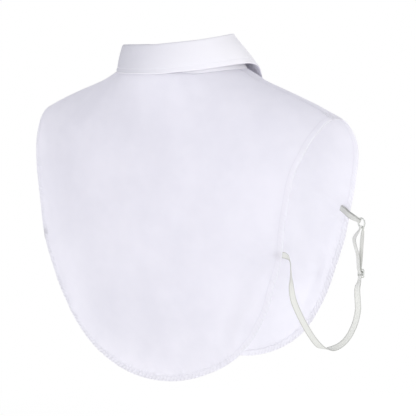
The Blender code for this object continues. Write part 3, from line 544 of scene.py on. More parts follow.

# The shirting's look: the share of light that passes it, how much of that stiffened cloth lets through,
# how far in from an edge the painted shade of a stitch line lies and how wide it is, how wide the painted
# highlight on the rim of a folded edge is, and the length and the reach of the puckers' painted shade
CLOTH_THROUGH = 0.60
CRISP_THROUGH = 0.1
PAINTED_SEAM_SHADE_GAP = 0.0050
PAINTED_SEAM_SHADE_WIDTH = 0.0007
PAINTED_RIM_HIGHLIGHT_WIDTH = 0.0012
RIPPLE = 0.0044
RIPPLE_REACH = 0.0068

# The collar's painted light: how fast its colour is painted lighter towards the camera's right, its share in
# the middle, and how fast and where that ends in front of the shoulders, where the colour is painted darker
PAINTED_LIGHT_SLOPE = 6.5
PAINTED_LIGHT_MIDDLE = 0.42
PAINTED_LIGHT_END_SLOPE = 30.0
PAINTED_LIGHT_END = 0.6

# The camera, in Blender's axes
PHOTO_WIDTH = 416.0
SENSOR = 36.0
CAMERA_TURN = 35.0
CAMERA_TILT = 7.0
CAMERA_DISTANCE = 1.5
CAMERA_FOCUS = 1500.0
CAMERA_TARGET = (-0.0213, -0.0149, -0.136)

# The lights, in Blender's axes: name, place, power as a share of the key light, and width
LIGHTS = (
    ("behind_camera", (-0.55, 1.75, -0.12), 1.08, 1.0),
    ("open_side", (-1.80, 0.50, 0.45), 0.75, 1.0),
    ("front", (0.35, -1.82, -0.10), 1.9, 1.2),
)


def world(places):
    """Turns places on the garment into Blender's axes."""
    return np.asarray(places, dtype=float) * (-1.0, -1.0, 1.0)


def unit(vectors):
    """Vectors made one metre long."""
    vectors = np.asarray(vectors, dtype=float)
    return vectors / np.maximum(np.linalg.norm(vectors, axis=-1, keepdims=True), 1e-12)


def steps_along(places):
    """How far along a line of places each one lies."""
    return np.concatenate(([0.0], np.cumsum(np.linalg.norm(np.diff(places, axis=0), axis=1))))


def ease(share):
    """A smooth step from 0 to 1."""
    share = np.clip(share, 0.0, 1.0)
    return share * share * (3.0 - 2.0 * share)


# The figure under the cloth

def section(right, side):
    """The figure's section at distances from the centre line: top, crest, level, reach and fullness."""
    out = np.abs(right)
    top, crest = SHOULDER.at(out, "up"), SHOULDER.at(out, "forward")
    if side == BACK:
        depth = BACK_PROFILE.at(BLADE_LEVEL, "forward") + out * out / (2.0 * BACK_ROUNDNESS)
        return top, crest, BLADE_LEVEL, depth - crest, SHOULDER.at(out, "back_fullness")
    depth = FRONT_PROFILE.at(CHEST_LEVEL, "forward") - out * out / (2.0 * CHEST_ROUNDNESS)
    return top, crest, CHEST_LEVEL, depth - crest, SHOULDER.at(out, "front_fullness")


def skin(right, down, side):
    """Places on the figure: down is measured along it from the blades' or the chest's level."""
    right, down = np.broadcast_arrays(np.asarray(right, dtype=float), np.asarray(down, dtype=float))
    top, crest, level, reach, fullness = section(right, side)
    other = section(right, -side)
    turn = np.pi / 2.0 + down / (top - level)
    past = turn < 0.0
    base = np.where(past, other[2], level)
    reach = np.where(past, other[3], reach)
    fullness = np.where(past, other[4], fullness)
    angle = np.clip(np.abs(turn), 0.0, np.pi / 2.0)
    sine, cosine = np.sin(angle), np.maximum(np.cos(angle), 0.0)
    ray = (sine ** fullness + cosine ** fullness) ** (-1.0 / fullness)
    forward, up = crest + reach * sine * ray, base + (top - base) * cosine * ray
    back, front = (BACK_PROFILE, BACK_ROUNDNESS), (FRONT_PROFILE, CHEST_ROUNDNESS)
    profile, roundness = back if side == BACK else front
    low = turn >= np.pi / 2.0
    hanging = profile.at(level - down, "forward") + side * right * right / (2.0 * roundness)
    forward = np.where(low, hanging, forward)
    return np.stack((right, forward, np.where(low, level - down, up)), -1)


def down_at_forward(right, forward, side):
    """How far down the figure places above the blades lie, from their place in plan."""
    top, crest, level, reach, fullness = section(right, side)
    other = section(right, -side)
    share = (forward - crest) / reach
    near = np.clip(share, 1e-6, 0.9999)
    far = np.clip((forward - other[1]) / other[3], 1e-6, 0.9999)
    turn = np.arctan((near ** -fullness - 1.0) ** (-1.0 / fullness))
    past = -np.arctan((far ** -other[4] - 1.0) ** (-1.0 / other[4]))
    return (np.where(share < 0.0, past, turn) - np.pi / 2.0) * (top - level)


def down_at_up(right, up, side):
    """How far down the figure places on the chest or the back lie, from their height."""
    top, _, level, _, fullness = section(right, side)
    share = np.clip((up - level) / (top - level), 1e-6, 0.9999)
    high = (np.arctan((share ** -fullness - 1.0) ** (1.0 / fullness)) - np.pi / 2.0) * (top - level)
    return np.where(up <= level, level - up, high)


def outward(right, down, side):
    """The directions that point out of the figure."""
    step = 0.0005
    across = skin(right + step, down, side) - skin(right - step, down, side)
    along = skin(right, down + step, side) - skin(right, down - step, side)
    return -side * unit(np.cross(across, along))


def right_front_lift(right):
    """How far the right front lies out from the left one, near the centre."""
    return LAP * ease((LAP_NONE - right) / (LAP_NONE - LAP_FULL))


def creases(table, right, up, side):
    """How far soft troughs and ridges between two places each lift the cloth, or sink it."""
    total = np.zeros(np.shape(right))
    for fold in table.named():
        if fold.side != side:
            continue
        along_right, along_up = fold.right_b - fold.right_a, fold.up_b - fold.up_a
        length = math.hypot(along_right, along_up)
        share = ((right - fold.right_a) * along_right + (up - fold.up_a) * along_up) / length ** 2
        across = ((right - fold.right_a) * along_up - (up - fold.up_a) * along_right) / length
        fade = np.exp(-(np.maximum(np.abs(share - 0.5) - FOLD_FULL, 0.0) / FOLD_FADE) ** 2)
        total = total + fold.lift * fade * np.exp(-(across / fold.width) ** 2)
    return total


def waver(along, length, phase=0.0):
    """An uneven wave from -1 to 1 along a line, as hand-fed sewing leaves."""
    turn = 2.0 * np.pi * along / length
    drift = 1.9 * np.sin(turn / 6.3 + phase) + 1.1 * np.sin(turn / 2.7 + 2.0 * phase)
    return np.sin(turn + drift + phase) * (0.72 + 0.28 * np.sin(turn / 4.1 + 1.3 + phase))


# Cut pieces in the pattern, as (right, down)

def neck_place(angle):
    """Places in plan on the neck seam."""
    radius = NECK.at(np.minimum(np.abs(angle), 360.0 - np.abs(angle)), "seam_radius")
    turn = np.radians(angle)
    return radius * np.sin(turn), -radius * np.cos(turn)


def neck_seam(side, start, stop, steps):
    """The neck seam between two angles from the centre back."""
    right, forward = neck_place(np.linspace(start, stop, steps + 1))
    return np.stack((right, down_at_forward(right, forward, side)), 1)


def shoulder_seam(side, steps, sign=1.0):
    """The shoulder seam from the neck to the tip."""
    start = neck_place(SHOULDER_SEAM_ANGLE)
    share = np.linspace(0.0, 1.0, steps + 1)
    right = start[0] + (SHOULDER_TIP[0] - start[0]) * share
    split = SEAM_SPLIT * (-1.0 if side == BACK else 1.0)
    forward = start[1] + (SHOULDER_TIP[1] - start[1]) * share + split
    return np.stack((sign * right, down_at_forward(right, forward, side)), 1)


def cut_edge(table, side, steps, sign=1.0):
    """The cut edge from the shoulder tip to the centre line."""
    places = [(half_width, up) for up, half_width in table.rows]
    places.append((-places[-2][0], places[-2][1]))
    lengths = [math.dist(a, b) for a, b in zip(places, places[1:])]
    lengths = np.concatenate(([0.0], np.cumsum(lengths)))
    shares = [(step / lengths[-2], *place) for step, place in zip(lengths, places)]
    rows = Table("share half_width up", shares)
    share = np.arange(1, steps + 1) / steps
    half_width, up = rows.at(share, "half_width"), rows.at(share, "up")
    return np.stack((sign * half_width, down_at_up(half_width, up, side)), 1)


def back_cut():
    """The back's outline, its hem and its seams in the pattern."""
    stop = SHOULDER_SEAM_ANGLE - SPLIT_ANGLE
    neck = neck_seam(BACK, -stop, stop, NECK_STEPS)
    seam = shoulder_seam(BACK, SEAM_STEPS)
    edge = cut_edge(BACK_EDGE, BACK, EDGE_STEPS)
    mirror = np.array((-1.0, 1.0))
    left_seam, left_edge = seam[::-1] * mirror, edge[-2::-1] * mirror
    outline = np.concatenate((left_seam[:-1], neck, seam[1:], edge, left_edge))
    hem = np.concatenate((seam[-1:], edge, left_edge, left_seam[:1]))
    return outline, hem, [seam, left_seam], neck


def front_cut(sign):
    """A front's outline, its hem and its seam in the pattern."""
    start = 180.0 + math.degrees(math.asin(OVERLAP / NECK.at(180.0, "seam_radius")))
    stop = SHOULDER_SEAM_ANGLE + SPLIT_ANGLE
    neck = neck_seam(FRONT, start, stop, NECK_STEPS // 2) * (sign, 1.0)
    seam = shoulder_seam(FRONT, SEAM_STEPS, sign)
    edge = cut_edge(FRONT_EDGE, FRONT, EDGE_STEPS, sign)
    bottom = edge[-1, 1]
    reach = np.linspace(0.0, -sign * OVERLAP, 9)[1:]
    hem_end = np.stack((reach, np.full(len(reach), bottom)), 1)
    centre = np.linspace(bottom, neck[0, 1], CENTRE_STEPS + 1)[1:-1]
    centre = np.stack((np.full(len(centre), -sign * OVERLAP), centre), 1)
    outline = np.concatenate((neck, seam[1:], edge, hem_end, centre))
    return outline, np.concatenate((seam[-1:], edge, hem_end)), [seam], neck


def nearest(places, line):
    """The distance from places to a line of points, and how far along it the nearest point lies."""
    a, ab = line[:-1], line[1:] - line[:-1]
    length = np.hypot(ab[:, 0], ab[:, 1])
    start = np.concatenate(([0.0], np.cumsum(length)[:-1]))
    gaps, alongs = np.empty(len(places)), np.empty(len(places))
    for first in range(0, len(places), MEASURED_AT_ONCE):
        part = places[first:first + MEASURED_AT_ONCE, None] - a
        share = np.clip((part * ab).sum(2) / np.maximum(length ** 2, 1e-16), 0.0, 1.0)
        gap = np.hypot(*np.moveaxis(part - share[..., None] * ab, 2, 0))
        k, row = gap.argmin(1), np.arange(len(part))
        gaps[first:first + MEASURED_AT_ONCE] = gap[row, k]
        alongs[first:first + MEASURED_AT_ONCE] = start[k] + share[row, k] * length[k]
    return gaps, alongs


def inside(places, outline):
    """Which places lie inside a closed outline."""
    hit = np.zeros(len(places), dtype=bool)
    for a, b in zip(outline, np.roll(outline, -1, axis=0)):
        spans = (a[1] > places[:, 1]) != (b[1] > places[:, 1])
        if a[1] != b[1]:
            crossing = a[0] + (b[0] - a[0]) * (places[:, 1] - a[1]) / (b[1] - a[1])
            hit ^= spans & (places[:, 0] < crossing)
    return hit


def offset_line(line, offset):
    """A line moved sideways in the pattern."""
    along = np.gradient(line, axis=0)
    along /= np.maximum(np.hypot(along[:, 0], along[:, 1]), 1e-12)[:, None]
    return line + np.stack((along[:, 1], -along[:, 0]), 1) * offset


def inner_line(line, outline, offset):
    """A line moved into the cut piece, kept where it really lies that far from the edge."""
    for sign in (1.0, -1.0):
        moved = offset_line(line, sign * offset)
        middle = moved[len(moved) // 2][None]
        if inside(middle, outline)[0]:
            gap, _ = nearest(moved, line)
            return moved[(gap > offset * 0.985) & inside(moved, outline)]
    return line[:0]


def fill_cut(outline, hem, seams, neck):
    """Fills a cut piece with triangles, finely along its hem and its seams."""
    closed = np.concatenate((outline, outline[:1]))
    places = [outline]
    for offset in HEM_LINES:
        places.append(inner_line(hem, outline, offset))
    for line in (*seams, neck):
        for offset in SEAM_LINES:
            moved = inner_line(line, outline, offset)
            gap, _ = nearest(moved, hem)
            places.append(moved[gap > HEM_LINES[-1] + 0.001])
    low, high = outline.min(0), outline.max(0)
    across = np.arange(low[0], high[0], FILL_SPACING)
    downs = np.arange(low[1], high[1], FILL_SPACING * FILL_ROW_SHARE)
    grid = np.stack(np.meshgrid(across, downs), -1)
    grid[1::2, :, 0] += FILL_SPACING * 0.5
    grid = grid.reshape(-1, 2)
    grid = grid[inside(grid, outline)]
    to_hem, _ = nearest(grid, hem)
    to_edge, _ = nearest(grid, closed)
    free = to_hem > HEM_LINES[-1] + 0.6 * FILL_SPACING
    places.append(grid[free & (to_edge > SEAM_LINES[-1] + 0.5 * FILL_SPACING)])
    flat = [Vector(place) for place in np.concatenate(places)]
    edges = [(i, (i + 1) % len(outline)) for i in range(len(outline))]
    verts, _, faces, *_ = geometry.delaunay_2d_cdt(flat, edges, [], 1, 1e-7)
    return np.array([tuple(v) for v in verts]), [tuple(face) for face in faces]


# Meshes

def link_piece(name, mesh):
    """A smooth object of a mesh, linked to the scene."""
    mesh.shade_smooth()
    piece = bpy.data.objects.new(name, mesh)
    bpy.context.scene.collection.objects.link(piece)
    return piece


def new_piece(name, verts, faces, uvs, attributes=None):
    """A mesh object with the pattern's UV map and named numbers at its points."""
    mesh = bpy.data.meshes.new(name)
    mesh.from_pydata(np.asarray(verts).tolist(), [], faces)
    layer = mesh.uv_layers.new(name="pattern")
    corners = np.empty(len(mesh.loops), dtype=np.int32)
    mesh.loops.foreach_get("vertex_index", corners)
    layer.data.foreach_set("uv", np.asarray(uvs, dtype=np.float32)[corners].ravel())
    for label, values in (attributes or {}).items():
        data = mesh.attributes.new(label, "FLOAT", "POINT").data
        data.foreach_set("value", np.asarray(values, dtype=np.float32))
    mesh.validate()
    return link_piece(name, mesh)


def finish_piece(piece, finish, slot, *nodes):
    """Gives a piece its finish, its body and the CAD nodes that it stands for."""
    piece.data.materials.clear()
    piece.data.materials.append(finish)
    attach(piece, "root")
    if nodes:
        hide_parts(*nodes)
    return piece


def walled(outer, inner, faces, uvs, attributes):
    """A closed wall between an outer and an inner surface that share their triangles."""
    count = len(outer)
    edges = {}
    for face in faces:
        for a, b in zip(face, face[1:] + face[:1]):
            edges[(a, b)] = edges.get((a, b), 0) + 1
    rim = [(b, a, a + count, b + count) for a, b in edges if (b, a) not in edges]
    back = [tuple(i + count for i in reversed(face)) for face in faces]
    doubled = {label: np.concatenate((values, values)) for label, values in attributes.items()}
    return np.concatenate((outer, inner)), [*faces, *back, *rim], np.concatenate((uvs, uvs)), doubled


def facing(verts, faces, direction):
    """Faces turned so that they look along directions given at the points."""
    triangle = np.array([face[:3] for face in faces])
    a, b, c = (verts[triangle[:, k]] for k in range(3))
    look = (np.cross(b - a, c - a) * direction[triangle[:, 0]]).sum()
    return faces if look > 0.0 else [tuple(reversed(face)) for face in faces]


def grid_faces(rows, columns, wrap=False):
    """The four-sided faces of a grid of points."""
    faces = []
    for i in range(rows - 1):
        for j in range(columns if wrap else columns - 1):
            k = (j + 1) % columns
            row, after = i * columns, (i + 1) * columns
            faces.append((row + j, row + k, after + k, after + j))
    return faces


def smooth_route(points, spacing):
    """Places along a smooth line through points given as equal-length rows of numbers."""
    points = [np.array(point, dtype=float) for point in points]
    out = []
    for i in range(len(points) - 1):
        a, b = points[max(i - 1, 0)], points[i]
        c, d = points[i + 1], points[min(i + 2, len(points) - 1)]
        count = max(int(math.ceil(np.linalg.norm((c - b)[:3]) / spacing)), 1)
        for k in range(count):
            t = k / count
            bend = (2 * a - 5 * b + 4 * c - d) + t * (3 * (b - c) + d - a)
            out.append(b + 0.5 * t * ((c - a) + t * bend))
    out.append(points[-1])
    return np.array(out)


# The worn cloth

def groove(gap, where, depth):
    """The trough that a line of stitches pulls into the cloth, this far in from an edge."""
    return -depth * np.exp(-((gap - where) / GROOVE_WIDTH) ** 2)


def panel_relief(side, right, down, hem_gap, hem_along, seam_gap, seam_along):
    """How far a panel's cloth lies out from the figure: folds, drag lines, puckers and stitch lines."""
    up = skin(right, down, side)[..., 2]
    lift = creases(FOLDS, right, up, side) + creases(DRAGS, right, up, side)
    cloth = settings().cloth
    slant = hem_along + 0.55 * hem_gap
    pucker = waver(slant, cloth.pucker_length, 0.4 + side) * 0.6
    pucker = pucker + waver(slant, cloth.pucker_length * 0.61, 2.1) * 0.4
    strength = PUCKERS.at(hem_along / hem_along.max(), "strength")
    body = np.exp(-((hem_gap - PUCKER_CREST) / 0.0040) ** 2)
    tail = 0.45 * np.exp(-np.maximum(hem_gap - 0.006, 0.0) / 0.0055)
    body = body + tail * (hem_gap > PUCKER_CREST)
    lift = lift + cloth.pucker_depth * strength * pucker * body
    lift = lift + HEM_STEP * ease((cloth.hem_width - hem_gap) / 0.0008)
    lift = lift + groove(hem_gap, cloth.hem_width - HEM_STITCH_IN, HEM_GROOVE)
    away = ease((hem_gap - 0.004) / 0.006)
    lift = lift + groove(seam_gap, SEAM_STITCH, SEAM_GROOVE) * away
    beside = SEAM_PUCKER * waver(seam_along, SEAM_PUCKER_LENGTH, 1.0) * np.exp(-seam_gap / 0.004)
    return lift + beside * away


def panel_places(side, sign, places, cut):
    """A panel's outer face at places in the pattern, with its normals and the distances to its edges."""
    _, hem, seams, _ = cut
    right, down = places[:, 0], places[:, 1]
    hem_gap, hem_along = nearest(places, hem)
    seam_gap, seam_along = nearest(places, seams[0])
    for seam in seams[1:]:
        gap, along = nearest(places, seam)
        seam_along = np.where(gap < seam_gap, along, seam_along)
        seam_gap = np.minimum(seam_gap, gap)
    lift = panel_relief(side, right, down, hem_gap, hem_along, seam_gap, seam_along)
    if side == FRONT and sign > 0.0:
        lift = lift * ease((np.abs(right) - 0.014) / 0.02) + right_front_lift(right)
    normal = outward(right, down, side)
    face = skin(right, down, side) + normal * lift[:, None]
    return face, normal, hem_gap, seam_gap, hem_along


def make_panel(name, side, sign, cut):
    """A panel of cloth with its turned hem, closed all round, and its area in the pattern."""
    cloth = settings().cloth
    flat, faces = fill_cut(*cut)
    area = triangle_area(flat, faces)
    face, normal, hem_gap, seam_gap, hem_along = panel_places(side, sign, flat, cut)
    turned = ease((cloth.hem_width + 0.0004 - hem_gap) / 0.0006)
    wall = cloth.thickness + (cloth.hem_thickness - cloth.thickness) * turned
    wall += SEAM_EXTRA * ease((SEAM_ALLOWANCE - seam_gap) / 0.0006) * (hem_gap > cloth.hem_width)
    tuck = wall * 0.30 * (1.0 - ease(hem_gap / 0.0009))
    outer = world(face - normal * tuck[:, None])
    inner = world(face - normal * (wall - tuck)[:, None])
    faces = facing(outer, faces, world(normal))
    # The pucker strength and the run along the hem are kept at the points for the finish's painted shade of
    # ripples
    strength = PUCKERS.at(hem_along / hem_along.max(), "strength")
    fields = {"edge": hem_gap, "run": hem_along + 0.8 * hem_gap, "pucker": strength}
    return new_piece(name, *walled(outer, inner, faces, flat, fields)), area


def triangle_area(flat, faces):
    """The area of a cut piece in the pattern."""
    triangle = np.array(faces)
    a, b, c = (flat[triangle[:, k]] for k in range(3))
    return float(np.abs((b - a)[:, 0] * (c - a)[:, 1] - (b - a)[:, 1] * (c - a)[:, 0]).sum() / 2.0)


# The collar

def ring_place(radius, angle, up):
    """A place at a radius and an angle from the centre back."""
    turn = np.radians(angle)
    return np.stack(np.broadcast_arrays(radius * np.sin(turn), -radius * np.cos(turn), up), -1)


def clear_of_body(place, clearance):
    """Moves a place of the collar out of the panels under it, in the figure's own section."""
    right, forward, up = place
    side = BACK if forward < SHOULDER.at(abs(right), "forward") else FRONT
    top, crest, level, reach, fullness = (float(value) for value in section(right, side))
    if up <= level:
        return place
    share, rise = abs((forward - crest) / reach), (up - level) / (top - level)
    ratio = (share ** fullness + rise ** fullness) ** (1.0 / fullness)
    length = math.hypot(forward - crest, up - level)
    needed = length / ratio + clearance + (float(right_front_lift(right)) if side == FRONT else 0.0)
    grow = max(needed / length, 1.0)
    return np.array((right, crest + (forward - crest) * grow, level + (up - level) * grow))


def fall_line(angle):
    """The middle of the fall's cloth at one angle, from its seam inside the fold to its lower edge."""
    size = abs(angle)
    fold_up, fold_radius = float(COLLAR.at(size, "fold_up")), float(NECK.at(size, "fold_radius"))
    lean = math.copysign(float(COLLAR.at(size, "lean")), angle)
    fold = [ring_place(fold_radius + out, angle, fold_up + rise + lean) for out, rise in FOLD_SECTION.rows]
    start = fold[-1]
    end_angle = math.copysign(size - float(COLLAR.at(size, "edge_turn")), angle)
    edge_up = fold_up - float(COLLAR.at(size, "drop")) + lean
    end = ring_place(float(COLLAR.at(size, "edge_radius")), end_angle, edge_up)
    leaf = []
    for step in range(1, LEAF_LINES + 1):
        share = step / LEAF_LINES
        belly = ring_place(LEAF_BELLY * math.sin(math.pi * share), angle, 0.0)
        leaf.append(clear_of_body(start + (end - start) * share + belly, COLLAR_CLEAR))
    route = smooth_route([*fold, *leaf], 0.0011)
    steps = steps_along(route)
    share = np.linspace(0.0, 1.0, FALL_ROWS)
    reach = steps[-1] * (share - 0.035 * np.sin(2.0 * np.pi * share))
    return np.stack([np.interp(reach, steps, route[:, k]) for k in range(3)], 1), reach


def stand_line(angle):
    """The middle of the stand's cloth at one angle, from its seam to its top."""
    size = min(abs(angle), 360.0 - abs(angle))
    lap = float(np.clip((-angle - 150.0) / 28.0, 0.0, 1.0)) * STAND_LAP
    seam_radius = float(NECK.at(size, "seam_radius"))
    fold_radius = float(NECK.at(size, "fold_radius"))
    right, forward = (float(value) for value in neck_place(math.copysign(size, angle)))
    side = BACK if size < SHOULDER_SEAM_ANGLE else FRONT
    down = float(down_at_forward(right, forward, side))
    foot = float(skin(right, down, side)[2]) - FOOT_TUCK
    slope = outward(np.array(right), np.array(down), side)
    tuck = max(slope[0] * right + slope[1] * forward, 0.0) / seam_radius * FIGURE_CLOTH
    inset = STAND_INSET + lap + tuck
    lean = math.copysign(float(COLLAR.at(size, "lean")), angle)
    top = float(COLLAR.at(size, "fold_up")) - STAND_TOP_DOWN + lean
    to_end = (STAND_END - abs(angle)) * math.pi / 180.0 * fold_radius
    if to_end < STAND_END_ROUND:
        rounded = math.sqrt(max(1.0 - (1.0 - to_end / STAND_END_ROUND) ** 2, 0.0))
        top -= 0.6 * (top - foot) * (1.0 - rounded)
    share = np.linspace(0.0, 1.0, STAND_LINES)
    radius = seam_radius - inset + (fold_radius - STAND_TOP_IN - lap - seam_radius + inset) * share
    radius = radius + STAND_BELLY * np.sin(np.pi * share)
    return ring_place(radius, angle, foot + (top - foot) * share), (top - foot) * share


def band(name, lines, thickness, edge_round, relief=None):
    """A closed band of doubled cloth from its middle lines, with softly rounded edges."""
    places = np.array([line for line, _ in lines])
    reach = np.array([row for _, row in lines])
    rows, columns = reach.shape
    across = np.gradient(places, axis=1)
    along = np.gradient(places, axis=0)
    normal = unit(np.cross(along, across))
    normal *= np.sign((normal[..., :2] * places[..., :2]).sum()) or 1.0
    run = steps_along(places[:, -1])
    runs_across = run[:, None] + np.zeros((1, columns))
    from_edge = reach[:, -1:] - reach
    from_end = np.minimum(run, run[-1] - run)[:, None] + np.zeros((1, columns))
    gap = np.minimum(from_edge, from_end)
    if relief is not None:
        places = places + normal * relief(runs_across, reach, gap)[..., None]
    nearness = np.clip(np.minimum(gap, reach + 0.0002) / edge_round, 0.0, 1.0)
    half = thickness * 0.5 * (0.35 + 0.65 * np.sqrt(1.0 - (1.0 - nearness) ** 2))[..., None]
    outer = world(places + normal * half).reshape(-1, 3)
    inner = world(places - normal * half).reshape(-1, 3)
    uvs = np.stack((runs_across, reach), -1).reshape(-1, 2)
    faces = facing(outer, grid_faces(rows, columns), world(normal.reshape(-1, 3)))
    piece = new_piece(name, *walled(outer, inner, faces, uvs, {"edge": gap.ravel()}))
    area = np.linalg.norm(np.cross(along, across), axis=-1).sum()
    return piece, (places, normal, gap, run, reach), float(area)


# Braid, rings and sliders

def from_slider(up, out):
    """A place given from the slider's centre, up and out from its plate."""
    return np.array(SLIDER_CENTRE) + (0.0, 0.0, up) + np.array(STRAP_OUT) * out


def side_signs(mirrored):
    """Factors that take the right strap's places to the side asked for."""
    return np.array((-1.0 if mirrored else 1.0, 1.0, 1.0))


def sweep(name, places, across, thickness):
    """A flat braid along places, with its width's direction and size at each, rounded at its sides."""
    places, across = world(places), world(across)
    tangent = unit(np.gradient(places, axis=0))
    width = across - tangent * (across * tangent).sum(1, keepdims=True)
    half = unit(width) * np.linalg.norm(across, axis=1, keepdims=True) * 0.5
    normal = unit(np.cross(tangent, unit(width)))
    ring = []
    for k in range(BRAID_SIDES):
        turn = 2.0 * math.pi * k / BRAID_SIDES
        x, y = math.cos(turn), math.sin(turn)
        x, y = math.copysign(abs(x) ** 0.45, x), math.copysign(abs(y) ** 0.75, y)
        ring.append((x, y))
    verts = np.array([places + half * x + normal * thickness * 0.5 * y for x, y in ring])
    verts = verts.transpose(1, 0, 2).reshape(-1, 3)
    steps = steps_along(places)
    count = len(places)
    faces = grid_faces(count, BRAID_SIDES, wrap=True)
    faces.append(tuple(range(BRAID_SIDES)))
    faces.append(tuple(reversed(range((count - 1) * BRAID_SIDES, count * BRAID_SIDES))))
    uvs = np.array([[(s, x * np.linalg.norm(half[i])) for x, _ in ring] for i, s in enumerate(steps)])
    piece = new_piece(name, verts, faces, uvs.reshape(-1, 2))
    bm = bmesh.new()
    bm.from_mesh(piece.data)
    bmesh.ops.recalc_face_normals(bm, faces=bm.faces)
    bm.to_mesh(piece.data)
    bm.free()
    return piece, places, float(steps[-1])


def run_route(mirrored, spacing):
    """The long run's places and the size and direction of its width, from the back's edge to the slider."""
    sway = LEFT_STRAP_SWAY if mirrored else 0.0
    rows = [*RUN.rows, *((*from_slider(up, out), *STRAP_ACROSS) for up, out in RUN_END.rows)]
    route = smooth_route(rows, spacing)
    hang = np.maximum((SWAY_TOP - route[:, 2]) / SWAY_DROP, 0.0)
    hang *= np.clip((SWAY_FRONT - route[:, 1]) / SWAY_FADE, 0.0, 1.0)
    route[:, 0] -= sway * hang
    near = np.clip((route[:, 2] - SLIDER_CENTRE[2] + ENTRY_DOWN) / ENTRY_FADE, 0.0, 1.0)
    near = near * (route[:, 1] > ENTRY_FRONT)
    across = unit(route[:, 3:]) * (STRAP_WIDTH * (1.0 - ENTRY_NARROW * near))[:, None]
    signs = side_signs(mirrored)
    return route[:, :3] * signs, across * signs


def loop_route(mirrored, spacing):
    """The doubled part's places and widths, from the slider up to the ring and back."""
    route = smooth_route([from_slider(up, out) for up, out in LOOP.rows], spacing)
    gather = np.exp(-((route[:, 2] - RING_CENTRE[2] + RING_RADIUS) / GATHER) ** 2)
    across = unit(np.array(STRAP_ACROSS)) * (STRAP_WIDTH * (0.90 - 0.40 * gather))[:, None]
    signs = side_signs(mirrored)
    return route * signs, across * signs


def tab_route(mirrored, spacing):
    """The folded tab's places and widths, out from its bar tack, round the ring and back."""
    towards = unit(unit(np.array(STRAP_ACROSS)) * TAB_SLANT[0] - np.array((0.0, 0.0, TAB_SLANT[1])))
    out = unit(np.array(STRAP_OUT))
    eye = np.array(RING_CENTRE) - towards * RING_RADIUS
    turn_radius = RING_WIRE + GAP * 2.0 + STRAP_THICK / 2.0
    lower = [np.array(row) + out * split for row, split in zip(TAB.rows, TAB_SPLIT)]
    upper = [np.array(row) - out * split for row, split in zip(TAB.rows, TAB_SPLIT)]
    bend = []
    for step in range(7):
        turn = math.radians(90.0 - 180.0 * step / 6)
        bend.append(eye + (out * math.sin(turn) + towards * math.cos(turn)) * turn_radius)
    route = smooth_route(lower + bend + upper[::-1], spacing)
    gather = np.exp(-(np.linalg.norm(route - eye, axis=1) / GATHER) ** 2)
    across = unit(np.cross(towards, out)) * (STRAP_WIDTH * (0.98 - 0.46 * gather))[:, None]
    signs = side_signs(mirrored)
    return route * signs, across * signs


def plate_axes(centre, mirrored):
    """The place and axes of a slider or a ring: X across the braid, Y up, Z out of it."""
    sign = -1.0 if mirrored else 1.0
    across = Vector(world((sign * STRAP_ACROSS[0], STRAP_ACROSS[1], 0.0))).normalized()
    up = Vector((0.0, 0.0, 1.0))
    turn = Matrix((across, up, across.cross(up))).transposed().to_4x4()
    return Matrix.Translation(world((sign * centre[0], centre[1], centre[2]))) @ turn


def from_bmesh(name, bm, matrix=None):
    """A piece from a bmesh, with its place in its mesh."""
    if matrix is not None:
        bmesh.ops.transform(bm, matrix=matrix, verts=bm.verts)
    mesh = bpy.data.meshes.new(name)
    bm.to_mesh(mesh)
    bm.free()
    return link_piece(name, mesh)


def applied(piece):
    """A piece with its modifiers made real and taken off."""
    graph = bpy.context.evaluated_depsgraph_get()
    mesh = bpy.data.meshes.new_from_object(piece.evaluated_get(graph))
    old, piece.data = piece.data, mesh
    piece.modifiers.clear()
    bpy.data.meshes.remove(old)
    return piece


def rounded_box(width, height, radius, centre, steps=5):
    """The corners of a rounded rectangle, anticlockwise."""
    points = []
    for corner in range(4):
        turn = math.pi / 2.0 * corner
        cx = (width / 2.0 - radius) * (1.0 if corner in (0, 3) else -1.0)
        cy = (height / 2.0 - radius) * (1.0 if corner in (0, 1) else -1.0) + centre
        for step in range(steps + 1):
            a = turn + math.pi / 2.0 * step / steps
            points.append((cx + radius * math.cos(a), cy + radius * math.sin(a)))
    return points


def make_slider(name, matrix):
    """The slider: a moulded plate with two slots, a bar between them and soft edges."""
    curve = bpy.data.curves.new(name, "CURVE")
    curve.dimensions = "2D"
    curve.fill_mode = "BOTH"
    curve.extrude = SLIDER_THICK / 2.0 - SLIDER_ROUND
    curve.bevel_depth = SLIDER_ROUND
    curve.bevel_resolution = 3
    inset = 2.0 * SLIDER_ROUND
    outlines = [rounded_box(SLIDER_WIDTH - inset, SLIDER_HEIGHT - inset, SLIDER_CORNER, 0.0)]
    for middle in (SLOT_OFFSET, -SLOT_OFFSET):
        outlines.append(rounded_box(SLOT_WIDTH + inset, SLOT_HEIGHT + inset, SLOT_CORNER, middle))
    for outline in outlines:
        spline = curve.splines.new("POLY")
        spline.points.add(len(outline) - 1)
        for point, (x, y) in zip(spline.points, outline):
            point.co = (x, y, 0.0, 1.0)
        spline.use_cyclic_u = True
    holder = bpy.data.objects.new(name, curve)
    bpy.context.scene.collection.objects.link(holder)
    graph = bpy.context.evaluated_depsgraph_get()
    mesh = bpy.data.meshes.new_from_object(holder.evaluated_get(graph))
    bpy.data.objects.remove(holder)
    bm = bmesh.new()
    bm.from_mesh(mesh)
    bmesh.ops.remove_doubles(bm, verts=bm.verts, dist=0.00002)
    bmesh.ops.recalc_face_normals(bm, faces=bm.faces)
    return from_bmesh(name, bm, matrix)


